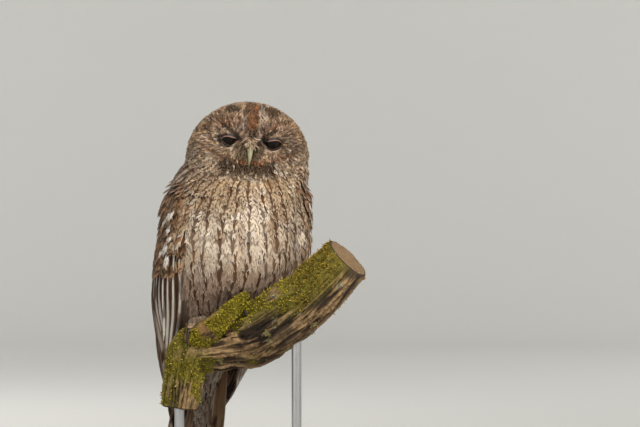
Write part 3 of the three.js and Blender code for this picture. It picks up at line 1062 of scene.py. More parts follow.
def barbs(grid: Array, ahead: Array, out: Array, v: Array, batch: Batch, cut: Cut, rng: Rng) -> Shape:
    """Loose barbs over vanes: each a short tapering vane that leaves the shaft at a slant and then droops.

    Args:
        grid: Top points of the vanes, as `ribbons` takes them.
        ahead: Directions along each vane, row by row.
        out: Directions out of the form, row by row.
        v: Place along each row.
        batch: The vanes' sizes and colours.
        cut: How many barbs, and how long.
        rng: Source of chance.

    Returns:
        The barbs, coloured as the places they lie over.
    """
    count, rows, columns, _ = grid.shape
    owner = np.repeat(np.arange(count), cut.barbs)
    total = len(owner)
    along = 1.0 - rng.random(total) ** 1.2 * (1.0 - cut.bare)
    across = rng.uniform(-0.92, 0.92, total)
    row = np.interp(along, v, np.arange(rows)).clip(0, rows - 1.001)
    column = ((across + 1.0) / 2 * (columns - 1)).clip(0, columns - 1.001)
    i, j = row.astype(int), column.astype(int)
    s, t = (row - i)[:, None], (column - j)[:, None]
    start = mix(grid[owner, i, j], grid[owner, i, j + 1], t)
    start = mix(start, mix(grid[owner, i + 1, j], grid[owner, i + 1, j + 1], t), s)
    n, d = out[owner, i], ahead[owner, i]
    slant = across * cut.slant + rng.normal(0, 0.14, total)
    b = np.cross(n, d)
    d = d * np.cos(slant)[:, None] + b * np.sin(slant)[:, None]
    b = np.cross(n, d)
    reach = (batch.length * cut.barb)[owner] * rng.uniform(0.6, 1.3, total) * (1.15 - 0.5 * along)
    s, y = vec(-0.1, 0.45, 1.0), vec(-1.0, 0.0, 1.0)
    wide = cut.barb_width * vec(0.75, 1.0, 0.22)
    rise = vec(-0.12, 0.2, 0.02) + 0.0 * reach[:, None] + rng.uniform(-0.08, 0.16, (total, 1)) * s
    rise = rise[..., None] - 0.3 * wide[:, None] * y**2
    made = start[:, None, None] + d[:, None, None] * (reach[:, None] * s)[..., None, None]
    made = made + b[:, None, None] * (wide[:, None] * y)[..., None] + n[:, None, None] * rise[..., None]
    half = (batch.width / 2)[owner, None] * np.maximum(cut.half(along), 0.3)[:, None]
    u = np.clip(across[:, None] + np.sin(slant)[:, None] * reach[:, None] * s / half * 0.5, -0.98, 0.98)
    w = along[:, None] + np.cos(slant)[:, None] * reach[:, None] * s / batch.length[owner, None] * 0.6
    w = np.clip(w, 0.0, 0.99)[..., None]
    ground = batch.ground[owner] if batch.ground.ndim == 2 else batch.ground[owner, i * columns + j]
    return ribbons(made, (0.999 * u)[..., None] + 0.0 * y, w, ground, batch.marks[owner], batch.unwrap[owner])


def lay(form: Form, lie: Lie, batch: Batch, cut: Cut, rng: Rng) -> Shape:
    """Lays feathers on a form: each shaft is walked along the lie of the coat, rising from its root.

    A step moves by the lie's direction, then back to the surface. Across the shaft a vane follows the form,
    and its edges are turned down by the camber.

    Args:
        form: The surface of the coat's tips.
        lie: Which way feathers point.
        batch: The feathers.
        cut: Their cut.
        rng: Source of chance.

    Returns:
        The feathers and their barbs.
    """
    v, x = cut.stations(), np.linspace(-1, 1, cut.columns)
    count = len(batch.roots)
    veer = rng.normal(0, cut.veer, (count, 1))
    p, steps = form.snap(batch.roots), np.diff(v, prepend=0.0)
    shafts, outs, aheads, steeps = [], [], [], []
    for step in steps:
        if aheads:
            p = form.snap(p + aheads[-1] * (step * batch.length)[:, None], 0, 1)
        slope = form.slope(p)
        n = unit(slope)
        d = lie.at(p, n)
        aheads.append(unit(d + veer * np.cross(n, d)))
        shafts.append(p)
        outs.append(n)
        steeps.append(np.linalg.norm(slope, axis=-1))
    shaft, out, ahead, steep = (np.stack(a, 1) for a in (shafts, outs, aheads, steeps))
    half = batch.width[:, None] / 2 * cut.half(v)
    fray = 1.0 + rng.normal(0, cut.ragged, (count, cut.rows, cut.columns)) * v[:, None]
    reach = half[..., None] * x * fray
    run = batch.length[:, None, None] * (fray - 1.0) * 0.5 * v[:, None] ** 4
    grid = shaft[:, :, None] + np.cross(out, ahead)[:, :, None] * reach[..., None]
    grid = grid + ahead[:, :, None] * run[..., None]
    tip = np.broadcast_to(batch.height, (count,))[:, None, None]
    height = tip - cut.depth * (1.0 - v[:, None]) ** cut.settle - cut.camber * half[..., None] * x**2
    height = height + cut.tilt * cut.hand * reach
    if cut.columns > 3:
        height = height - (form.measure(grid) - 1.0) / steep[..., None]
    grid = grid + out[:, :, None] * height[..., None]
    if cut.local:
        here = PATTERN.ground(grid.reshape(-1, 3)).reshape(count, -1, 3)
        tone = batch.ground / np.maximum(here.mean(1), 0.01)
        shades = mix(batch.ground[:, None], here * np.clip(tone, 0.6, 1.5)[:, None], cut.local)
        batch = replace(batch, ground=held(shades))
    made = [ribbons(grid, x * cut.hand, v[:, None], batch.ground, batch.marks, batch.unwrap)]
    if cut.barbs:
        made.append(barbs(grid, ahead, out, v, batch, cut, rng))
    return Shape.join(made)


class Lie:
    """Which way the coat lies: back from the bill over the head, round the eyes, then down the body."""

    def at(self, p: Array, n: Array) -> Array:
        """Unit vectors along the surface."""
        d = mix(self.down(p), self.over(p), smooth(p[..., 2], 303, 322)[..., None])
        return unit(d - n * dot(d, n))

    @staticmethod
    def down(p: Array) -> Array:
        """Down the body, fanning at the throat, closing on the middle of the belly, and back to the tail.

        Args:
            p: Points.

        Returns:
            Unit vectors, one for each point.
        """
        x, z = p[..., 0] - TORSO.at("x", p[..., 2]) - 14.0, p[..., 2]
        low = smooth(z, 245, 175)
        fan = 0.60 * bell(z, 302, 28) - 0.34 * low
        side = np.where(p[..., 1] < 20.0, fan * x / 60.0, 0.0) - 0.20 * low
        return unit(vec(side, 0.30 * low, -1.0))

    @staticmethod
    def over(p: Array) -> Array:
        """Away from the bill over the head, away from each eye on the disc, and up between the brows.

        Args:
            p: Points.

        Returns:
            Unit vectors, one for each point.
        """
        f = FACE.inward(p)
        away = unit(f - vec(0.0, -12.0, -6.0))
        back = away + vec(0.0, 0.0, -0.75) * smooth(f[..., 1:2], 30, 75)
        side = np.where(f[..., 0] < 0, -1.0, 1.0)
        eye = vec(side * FACE.eye_apart / 2, f[..., 1], FACE.eye_up)
        disc = unit(f - eye + vec(0.0, 4.0, 0.0))
        share = (1.0 - smooth(FACE.eye_reach(f), 27, 40)) * (1.0 - smooth(f[..., 1], 24, 44))
        d = mix(back, disc, share[..., None])
        middle = bell(f[..., 0], 0, 8.5) * smooth(f[..., 2], -3, 6)
        middle = middle * (1.0 - smooth(f[..., 1], 10, 30))
        return mix(d, vec(0.0, 0.25, 1.0), middle[..., None]) @ FACE.axes().T


class Pattern:
    """The bird's markings, with painted shade and painted light worked in. Skin and feathers both take their
    colours from here.
    """

    def ground(self, p: Array) -> Array:
        """Ground colour at points, in linear red, green and blue, with painted shade and painted light worked
        in.

        Args:
            p: Points.

        Returns:
            Their colours.
        """
        turn = turn_of(p)
        z = p[..., 2]
        c = wash(WHITE * 0.9, CREAM * 0.82, smooth(z, 250, 296))
        # the belly greys downwards: partly its own grey, partly painted shade where it curves under
        c = mix(c, GREY * vec(0.54, 0.48, 0.46), smooth(z, 256, 200)[:, None] * 0.92)
        # painted shade: the sides darken as they turn away from the front, the right side far more, as if the
        # light came from the left
        edge = np.where(turn > 0.0, 0.42, 0.06)
        c = c * (1.0 - edge * smooth(np.abs(turn), 18, 60) * smooth(z, 305, 285))[:, None]
        warm = 0.5 + 0.5 * noise(p * vec(1.0, 1.0, 0.6), 11, 11, 2)
        c = wash(c, BUFF * 0.7, 0.8 * smooth(warm, 0.46, 0.72) * smooth(z, 200, 260))
        c = wash(c, WHITE, 0.8 * smooth(warm, 0.42, 0.25) * smooth(z, 205, 245))
        # painted light: pale pools on the upper breast, where the light falls fullest
        pale = bell(p[..., 0], 25, 12) * bell(z, 270, 24)
        pale = pale + 0.5 * bell(p[..., 0], -22, 9) * bell(z, 266, 17)
        c = wash(c, WHITE * 1.2, 1.2 * pale)
        neck = bell(np.abs(turn), 74, 15) * bell(z, 304, 18)
        rust = wash(BROWN, mix(RUFOUS, BUFF, 0.3), smooth(warm, 0.3, 0.6))
        c = wash(c, rust, 1.1 * neck, 0.85)
        back = smooth(np.abs(turn), 66, 100) * smooth(z, 150, 185)
        c = wash(c, wash(BROWN, RUFOUS, warm), back)
        head = smooth(z, 306, 318)[:, None]
        return mix(c, self.head(p), head)

    def head(self, p: Array) -> Array:
        """The head: grey-buff discs, pale brows, a rufous stripe, dark spots over the eyes, a brown nape, and
        painted shade on the disc's outer right.

        Args:
            p: Points.

        Returns:
            A colour for each point.
        """
        f = FACE.inward(p)
        x, y, z = np.abs(f[..., 0]), f[..., 1], f[..., 2]
        mottle = 0.5 + 0.5 * noise(p, 2.8, 5, 2)
        blotch = 0.5 + 0.5 * noise(p, 7, 6, 2)
        grain = 0.5 + 0.5 * noise(p, 1.7, 8, 1)
        tan, ash = mix(CREAM, WHITE, 0.45) * 0.92, GREY * vec(1.2, 1.16, 1.24)
        c = wash(tan, ash, smooth(blotch + 0.012 * z, 0.34, 0.6))
        c = wash(BROWN * 1.1, c, 0.2 + 0.8 * smooth(0.55 * mottle + 0.45 * grain, 0.36, 0.58))
        reach = FACE.eye_reach(f)
        c = c * (1.0 + 0.22 * np.sin(reach * 1.9) * smooth(reach, 8, 13))[:, None]
        c = wash(c, CREAM, bell(reach, 15, 5) * smooth(z, 2, -8) * 0.3)
        crown = wash(BUFF * 1.1, BROWN * 0.8, smooth(blotch, 0.42, 0.58))
        crown = mix(crown, RUFOUS, smooth(mottle, 0.5, 0.8)[:, None] * 0.6)
        crown = wash(crown, CREAM, 0.85 * smooth(mottle, 0.45, 0.6) * (1.0 - smooth(y, 34, 60)))
        above = smooth(z + 0.004 * x**2, 25, 33) + smooth(y, 14, 26) * smooth(z, -20, 5)
        c = wash(c, crown, above)
        nape = wash(RUFOUS, BROWN, blotch)
        c = wash(c, nape, smooth(y, 45, 62))
        front = 1.0 - smooth(y, 30, 46)
        rise = np.clip(z - 7.0, 0.0, 36.0)
        vee = bell(x, 4.6 + 0.2 * rise + 0.007 * rise**2, 3.6 + 0.06 * rise) * smooth(z, 2, 9) * front
        vee = vee * mix(0.6, 1.7, smooth(f[..., 0], 0, 8) * smooth(z, 12, 26))
        speckled = wash(BROWN * 0.5, WHITE * 1.45, smooth(grain + 0.09 * np.sign(f[..., 0]), 0.42, 0.54))
        c = wash(c, speckled, vee)
        brow = bell(x, 25, 14) * bell(z, 18, 8) * front
        ash = wash(BROWN * 1.4, ash, smooth(0.4 * mottle + 0.6 * grain, 0.36, 0.6))
        c = wash(c, ash, 1.2 * brow, 0.95)
        spot = bell(x, 20.5, 8) * bell(z, 30.5, 4.2) * front
        c = wash(c, BROWN * 0.42, 2.6 * spot - 0.5 * mottle)
        stripe = bell(f[..., 0], 1.4, 5.4 + 0.05 * z) * smooth(z, -2, 5) * front
        flecks = 0.12 + smooth(0.5 * mottle + 0.5 * grain, 0.36, 0.62)[:, None]
        rust = RUFOUS * vec(0.86, 0.68, 0.5) * flecks
        rust = wash(DARK, rust, smooth(z + 10.0 * (mottle - 0.5), 7, 16))
        c = wash(c, rust, 1.7 * stripe - 0.25 * grain)
        lore = bell(x, 11, 5) * bell(z, -5, 6) * front
        c = wash(c, wash(DARK, BROWN * 1.6, smooth(mottle, 0.4, 0.8)), 1.15 * lore, 0.95)
        c = wash(c, DARK * 0.5, 2.6 * self.wedge(x, z) * front)
        rim = bell(z, -21.0 + 0.0055 * x**2, 1.7) * smooth(x, 9, 14) * smooth(x, 52, 44) * front
        c = wash(c, wash(BROWN * 0.7, RUFOUS, mottle), 1.2 * rim, 0.9)
        chin = bell(x, 6, 6) * bell(z, -21.5, 3.2) * front
        c = wash(c, RUFOUS * (0.7 + 2.0 * grain[:, None]), 1.5 * chin)
        # painted shade: the outer right of the disc darkened, as that side is turned from the light
        c = c * (1.0 - 0.58 * smooth(f[..., 0], 23, 35) * bell(z, 0, 14) * front)[:, None]
        ruff = bell(z, -28.0 + 0.004 * x**2, 5.4) * smooth(x, 33, 24) * front
        spangle = wash(BROWN * 0.28, WHITE * 0.8, smooth(0.3 * mottle + 0.7 * grain, 0.63, 0.7))
        return wash(c, spangle, 2.2 * ruff)

    @staticmethod
    def wedge(x: Array, z: Array) -> Array:
        """Strength of the dark line that runs from the eye's inner corner up and outwards over the lid."""
        return bell(z, 2.8 + 0.68 * (x - 12.0), 1.9) * smooth(x, 8, 11) * smooth(x, 28, 22)

    def marks(self, p: Array, streak: Array | float, rng: Rng) -> Array:
        """Strengths of streak and bars on each feather, and its own number."""
        bars = 0.38 + 0.4 * smooth(p[..., 2], 215, 285) + 0.35 * noise(p, 18, 21)
        return vec(streak, np.clip(bars, 0.0, 1.0), rng.random(len(p)))

    @staticmethod
    def unwrap(p: Array) -> Array:
        """Places on the unwrap of the body: turn across, and length down from the crown to the vent.

        Args:
            p: Points.

        Returns:
            The two places for each point.
        """
        turn, z = turn_of(p), p[..., 2]
        up = np.arcsin(np.clip((z - CHEEK_Z) / DOME, 0.0, 1.0)) * DOME
        down = np.arcsin(np.clip((BELLY_Z - z) / BELLY_DROP, 0.0, 1.0)) * BELLY_DROP
        run = np.clip(z, BELLY_Z, CHEEK_Z) + up - down
        return vec(0.5 + turn / 368.0, (run - 70.0) / 358.0)


PATTERN, LIE = Pattern(), Lie()
HUE = vec(0.45, 0.0, -0.75)  # how red, green and blue part between a warm feather and a cool one


# ---------- the coat's parts ----------


def held(ground: Array) -> Array:
    """Colours dimmed where their brightest part is over 0.8, as no feather is whiter."""
    return ground / np.maximum(ground.max(-1, keepdims=True) / 0.8, 1)


def batch(
    form: Form, roots: Array, length: Array, width: Array, streak: Array | float, rng: Rng, speck: float = 0.1
) -> Batch:
    """Feathers of the body or head, coloured by the pattern where their outer halves will lie.

    Args:
        form: Their surface.
        roots: Their roots.
        length: Their lengths.
        width: Their widths.
        streak: How strongly each is streaked.
        rng: Source of chance.
        speck: How much their tones differ.

    Returns:
        The feathers, ready to lay.
    """
    d = LIE.at(roots, form.normal(roots))
    seen = form.snap(roots + d * (0.72 * length)[:, None], 0, 1)
    one = (len(roots), 1)
    shade = rng.normal(0, speck, one) + rng.normal(0, min(0.14, 0.5 * speck), one) * HUE
    ground = held(PATTERN.ground(seen) * np.exp(shade))
    return Batch(roots, length, width, ground, PATTERN.marks(seen, streak, rng), PATTERN.unwrap(roots))


@dataclass
class BodyCoat:
    """The feathers of the throat, breast, belly and back, in columns whose streaks join into long chains."""

    start: float = 284.0
    columns: int = 32
    above: int = 13
    below: int = 24
    vent_wide: float = 28.0
    vent: tuple[Triple, ...] = ((-18, 24, 166), (-27, 33, 112), (-34, 42, 68))
    rump_wide: float = 26.0
    rump: tuple[Triple, ...] = ((-16, 41, 178), (-23, 43, 142), (-29, 43, 100))
    cut: Cut = Cut(
        rows=9, tip=0.3, camber=0.16, depth=4.4, veer=0.06, barbs=22, barb=0.27, slant=0.34, local=0.75
    )

    def roots(self, rng: Rng) -> tuple[Array, Array]:
        """Roots walked up and down along the lie of the coat, from a ring at the top of the breast.

        Whole columns are streaked. Between them run plain half columns, half a row lower.

        Args:
            rng: Source of chance.

        Returns:
            The points, and whether each is streaked.
        """
        count = 2 * self.columns
        turn = (np.arange(count) + rng.normal(0, 0.12, count)) * 360.0 / count - 180.0
        odd = np.arange(count) % 2
        ring = BODY.snap(section_point(TORSO, self.start - 4.0 * odd, turn), 0, 5)
        made, kinds = [], []
        for way, steps in ((1.0, self.below), (-1.0, self.above)):
            p = ring
            for step in range(steps + 1):
                if step or way > 0:
                    made.append(p)
                    kinds.append(odd == 0)
                size = mix(8.6, 5.6, smooth(p[:, 2], 268, 318)) * (1.0 + rng.normal(0, 0.05, count))
                n = BODY.normal(p)
                d = LIE.at(p, n)
                sway = 0.22 * noise(p, 26, 15, 2)[:, None]
                p = BODY.snap(p + (d + np.cross(n, d) * sway) * (way * size)[:, None], 0, 2)
        p, streaked = np.concatenate(made), np.concatenate(kinds)
        p = BODY.snap(p + rng.normal(0, 0.45, p.shape))
        turn, z = turn_of(p), p[:, 2]
        wing = np.where(turn > 0.0, 74.0, 60.0) - 10.0 * smooth(z, 270, 215)
        wing = wing + 16.0 * smooth(z, 284, 298) - 12.0 * smooth(z, 185, 160)
        rear = WING.at("aft", z) - 9.0 + 16.0 * smooth(z, 215, 185)
        covered = (np.abs(turn) > wing) & (np.abs(turn) < rear) & (z < 299.0)
        covered |= (np.abs(turn) > 90.0) & (z < 116.0)
        tuck = mix(-0.72, -0.4, smooth(np.abs(turn), 60, 80))
        covered |= (z < 156.0) & (BODY.normal(p)[:, 2] < tuck)
        f = FACE.inward(p)
        on_face = HeadCoat.facing(f * vec(1.08, 1.0, 1.12))
        keep = ~covered & ~on_face & (BODY.normal(p)[:, 2] > -0.86) & (z < 345.0)
        return p[keep], streaked[keep]

    def build(self) -> None:
        """Lays the coat, split into throat, breast, belly, nape and back, then dresses the body's end."""
        rng = np.random.default_rng(SEED)
        roots, streaked = self.roots(rng)
        z, count = roots[:, 2], len(roots)
        low = smooth(z, 325, 225)
        length = mix(15.0, 33.0, low) * rng.uniform(0.88, 1.14, count)
        length *= 1.0 - 0.45 * smooth(z, 175, 140)
        width = mix(8.5, 15.5, low) * rng.uniform(0.9, 1.1, count) * np.where(streaked, 1.0, 0.72)
        streak = np.where(streaked, rng.uniform(0.75, 1, count), rng.uniform(0, 0.3, count))
        coat = batch(BODY, BODY.snap(roots), length, width, streak, rng)
        toward = turn_of(roots)
        turn = np.abs(toward)
        coat.height = rng.normal(-0.5, 0.35, count) + 1.4 * bell(z, 314, 12) * smooth(turn, 44, 74)
        coat.height += 0.3 * smooth(turn, 48, 62) * smooth(z, 310, 295) - 0.9 * ~streaked
        coat.height += 2.0 * smooth(toward, 40, 62) * smooth(turn, 120, 96) * bell(z, 322, 9)
        coat.height += 6.0 * smooth(-toward, 40, 62) * smooth(turn, 128, 104) * bell(z, 316, 10)
        groove = smooth(z, 150, 180) * smooth(z, 290, 275)
        coat.height += 3.2 * bell(turn - WING.at("aft", z), 2, 5) * groove
        front = turn < 88.0
        parts = {
            "coat_throat": (front & (z > 284.0), PLUMAGE),
            "coat_breast": (front & (z <= 284.0) & (z > 238.0), PLUMAGE),
            "coat_belly": (front & (z <= 238.0), BELLY),
            "coat_nape": (~front & (z > 262.0), MANTLE),
            "coat_back": (~front & (z <= 262.0), MANTLE),
        }
        for name, (part, finish) in parts.items():
            publish(name, lay(BODY, LIE, coat.only(part), self.cut, rng), finish)
        vent = self.cone(self.vent, self.vent_wide, 0.0, (GREY * 0.62, WHITE * 0.62), rng)
        publish("coat_vent", vent, BELLY)
        rump = self.cone(self.rump, self.rump_wide, np.pi, (BROWN * 1.2, RUFOUS * 1.15), rng)
        publish("coat_rump", rump, MANTLE)

    def cone(
        self, line: tuple[Triple, ...], wide: float, way: float, tones: tuple[Array, Array], rng: Rng
    ) -> Shape:
        """Soft feathers on one side of a cone that leads from the body's end down the tail.

        Args:
            line: The cone's middle.
            wide: Its radius at the start.
            way: 0.0 for its front, and pi for its back.
            tones: The two colours that the feathers lie between.
            rng: Source of chance.

        Returns:
            The feathers.
        """
        path = Path(np.array(line, float), VIEWER, 80)
        form, count = TubeForm(path, wide, 4.0), 170
        share, angle = rng.random(count) ** 1.2 * 0.86, rng.uniform(-1.9, 1.9, count)
        roots = path.around(share, way + angle, mix(wide, 4.0, share))
        ground = mix(*tones, rng.random((count, 1)))
        marks = vec(rng.uniform(0.3, 1, count), 0.5, rng.random(count))
        unwrap = vec(0.5 + 0.22 * angle, 0.01 + 0.04 * share)
        length = mix(24.0, 17.0, share) * rng.uniform(0.85, 1.15, count)
        plumes = Batch(roots, length, 0.42 * length, ground, marks, unwrap, rng.normal(0, 0.4, count))
        return lay(form, TubeLie(form), plumes, replace(self.cut, barbs=10, veer=0.1, local=0.0), rng)


@dataclass
class HeadCoat:
    """The feathers of the face, crown and nape, the bristles beside the bill, and the ruff under it."""

    centre: Triple = (16.0, 0.0, 338.0)
    radius: float = 56.0
    face_spacing: float = 2.1
    crown_spacing: float = 3.3
    face: Cut = Cut(rows=4, columns=3, root=0.7, widest=0.4, tip=0.25, camber=0.5, depth=2.2, veer=0.16)
    crown: Cut = Cut(
        rows=6, columns=3, root=0.6, tip=0.2, camber=0.4, depth=3.4, veer=0.12, barbs=4, barb=0.45,
        barb_width=0.4,
    )
    bristle: Cut = Cut(rows=6, columns=3, root=0.8, widest=0.1, tip=0.15, camber=0.5, depth=3.0, veer=0.22)
    brush: Cut = Cut(
        rows=7, columns=3, root=0.7, widest=0.4, tip=0.2, camber=0.5, depth=9.0, settle=1.6, veer=0.3
    )

    @staticmethod
    def facing(f: Array) -> Array:
        """Whether points in the face's frame belong to the face: discs, brows, chin and forehead.

        Args:
            f: Points in the face's frame.

        Returns:
            True or false for each point.
        """
        x, z = np.abs(f[..., 0]), f[..., 2]
        tall = np.where(z > 1.0, 46.0, 38.0)
        low = mix(-31.5, -24.5 + 0.0055 * x**2, smooth(x, 18, 27))
        return (np.hypot(x / 49.0, (z - 1.0) / tall) < 1.0) & (z > low) & (f[..., 1] < 44.0)

    def spiral(self, spacing: float, share: float, rng: Rng) -> Array:
        """Points evenly over the head, from its top down, each turned by the golden angle from the last.

        Args:
            spacing: Distance between points.
            share: How much of the head to cover.
            rng: Source of chance.

        Returns:
            Points of the surface.
        """
        count = int(4.0 * np.pi * (self.radius + 1.0) ** 2 * share / (0.87 * spacing**2))
        i = np.arange(count) + 0.5
        rise, turn = 1.0 - 2.0 * share * i / count, i * GOLDEN_ANGLE
        flat = np.sqrt(1.0 - rise * rise)
        d = vec(flat * np.cos(turn), flat * np.sin(turn), rise)
        p = np.array(self.centre) + d * self.radius + rng.normal(0, 0.22 * spacing, d.shape)
        return BODY.snap(p, 0, 5)

    def face_roots(self, rng: Rng) -> Array:
        """Close roots over the face, clear of the eyes and the bill.

        Args:
            rng: The coat's random draws.

        Returns:
            The roots.
        """
        p = self.spiral(self.face_spacing, 0.82, rng)
        g = FACE.inward(p)
        x, z = np.abs(g[:, 0]), g[:, 2]
        lidded = np.hypot((x - FACE.eye_apart / 2) / 9.6, (z - FACE.eye_up + 0.4) / 8.0) < 1.0
        bill = (x < 2.6) & (np.abs(z + 13.0) < 9.0)
        return p[self.facing(g) & ~lidded & ~bill]

    def crown_roots(self, rng: Rng) -> Array:
        """Roots over the rest of the head.

        Args:
            rng: The coat's random draws.

        Returns:
            The roots.
        """
        p = self.spiral(self.crown_spacing, 0.68, rng)
        f = FACE.inward(p)
        low = mix(325.0, 312.0, smooth(f[:, 1], 30, 70))
        return p[~self.facing(f * vec(1.04, 1.0, 1.04)) & (p[:, 2] > low)]

    @staticmethod
    def between(x: Array, z: Array) -> Array:
        """Points on the face between the eyes, from x and z in its frame."""
        return BODY.snap(FACE.outward(vec(x, -4.0, z)), 0, 6)

    def bristle_batch(self, rng: Rng) -> Batch:
        """Fine bristles that leave the lores and curve down beside the bill.

        Args:
            rng: Source of chance.

        Returns:
            The bristles.
        """
        count = 380
        side = np.where(np.arange(count) % 2, -1.0, 1.0)
        x, z = side * rng.uniform(3.5, 12.5, count), rng.uniform(-10, 3, count)
        p = self.between(x, z)
        # painted shade: the bristles on the viewer's right are kept darker, as that side of the bill lies in
        # shadow
        pale = rng.uniform(0, 1, count) ** 2 * np.where(side < 0, 0.6, 0.25)
        ground = wash(DARK, CREAM, pale)
        marks = vec(0.0, 0.0, rng.random(count))
        length = rng.uniform(5, 10, count)
        height = rng.uniform(0.3, 2.2, count) + rng.uniform(0, 5, count) * smooth(np.abs(x), 8, 3.5)
        return Batch(p, length, np.full(count, 0.95), ground, marks, PATTERN.unwrap(p), height)

    def brush_batch(self, rng: Rng) -> Batch:
        """Short feathers that stand over the root of the bill and fall forwards on it.

        Args:
            rng: Source of chance.

        Returns:
            The feathers.
        """
        count = 220
        x, z = rng.uniform(-5.5, 5.5, count), rng.uniform(0, 8.5, count)
        p = self.between(x, z)
        tone = rng.random((count, 1))
        ground = np.where(tone < 0.35, DARK * 1.5, mix(BUFF, WHITE, tone))
        ground = np.where(rng.random((count, 1)) < 0.2, RUFOUS, ground)
        marks = vec(0.0, 0.0, rng.random(count))
        height = rng.uniform(0, 1, count) ** 0.7 * (6.2 + 0.25 * (4.0 - z))
        length = rng.uniform(5, 9.5, count)
        return Batch(p, length, np.full(count, 1.3), ground, marks, PATTERN.unwrap(p), height)

    def build(self) -> None:
        """Lays the face, the crown, and the bristles with the brush."""
        rng = np.random.default_rng(SEED + 1)
        roots = self.face_roots(rng)
        f = FACE.inward(roots)
        far = smooth(FACE.eye_reach(f), 10, 38)
        low = smooth(f[:, 2], -22, -29)
        length = mix(4.5, 8.0, far) * rng.uniform(0.85, 1.15, len(f)) - 1.5 * low
        discs = batch(BODY, roots, length, mix(1.8, 2.4, far), 0.35, rng, 0.5)
        discs.height = rng.normal(-0.25, 0.3, len(f)) + 0.5 * low
        gap = vec(np.abs(f[:, 0]) - FACE.eye_apart / 2, f[:, 2] - FACE.eye_up)
        brow = smooth(unit(gap) @ vec(0.55, 0.84), -0.1, 0.6) * smooth(FACE.eye_reach(f), 18, 10)
        discs.height += 2.8 * brow
        publish("coat_face", lay(BODY, LIE, discs, self.face, rng), DISC)
        roots = self.crown_roots(rng)
        back = smooth(FACE.inward(roots)[:, 1], 25, 85)
        length = mix(8.0, 16.0, back) * rng.uniform(0.85, 1.15, len(roots))
        rest = batch(BODY, roots, length, mix(3.2, 6.5, back), rng.uniform(0.3, 1, len(roots)), rng, 0.3)
        rest.height = rng.normal(-0.4, 0.3, len(roots))
        publish("coat_crown", lay(BODY, LIE, rest, self.crown, rng), CROWN)
        lores = Lores()
        parts = [lay(BODY, lores, self.bristle_batch(rng), self.bristle, rng)]
        parts.append(lay(BODY, lores, self.brush_batch(rng), self.brush, rng))
        publish("coat_bristles", Shape.join(parts), DISC)


class Lores(Lie):
    """The lie of the bristles: out from between the eyes, then down beside the bill."""

    def at(self, p: Array, n: Array) -> Array:
        """Unit vectors along the surface: outward high up, and more and more downward below.

        Args:
            p: Points.
            n: The surface's normals there.

        Returns:
            The directions in which feathers lie.
        """
        f = FACE.inward(p)
        side = np.where(f[..., 0] < 0, -1.0, 1.0)
        drop = np.maximum(smooth(f[..., 2], 6, -10), 1.0 - smooth(np.abs(f[..., 0]), 3, 6.5))
        d = vec(side * mix(1.0, -0.12, drop), 0.0, mix(-0.3, -1.0, drop)) @ FACE.axes().T
        return unit(d - n * dot(d, n))


@dataclass
class WingLie(Lie):
    """The lie of a folded wing: each shaft keeps its share of the wing's breadth on the way down."""

    side: int  # -1 for the bird's right wing, 1 for its left

    def share(self, p: Array) -> Array:
        """How far across the wing points lie, 0 at its front edge and 1 at its back edge.

        Args:
            p: Points.

        Returns:
            A share for each point.
        """
        z, turn = p[..., 2], section_reach(WRAP, p)[1] * self.side
        turn = np.where(turn < -90.0, turn + 360.0, turn)
        return (turn - WING.at("fore", z)) / (WING.at("aft", z) - WING.at("fore", z))

    def point(self, z: Array, share: Array) -> Array:
        """The point of the wing's surface at a height and a share of its breadth."""
        turn = mix(WING.at("fore", z), WING.at("aft", z), share)
        return section_point(WRAP, z, turn * self.side)

    def at(self, p: Array, n: Array) -> Array:
        """Unit vectors to the point of the same share two millimetres lower.

        Args:
            p: Points.
            n: The surface's normals there.

        Returns:
            The directions in which feathers lie.
        """
        z, share = p[..., 2], self.share(p)
        d = self.point(z - 2.0, share) - self.point(z, share)
        return unit(d - n * dot(d, n))


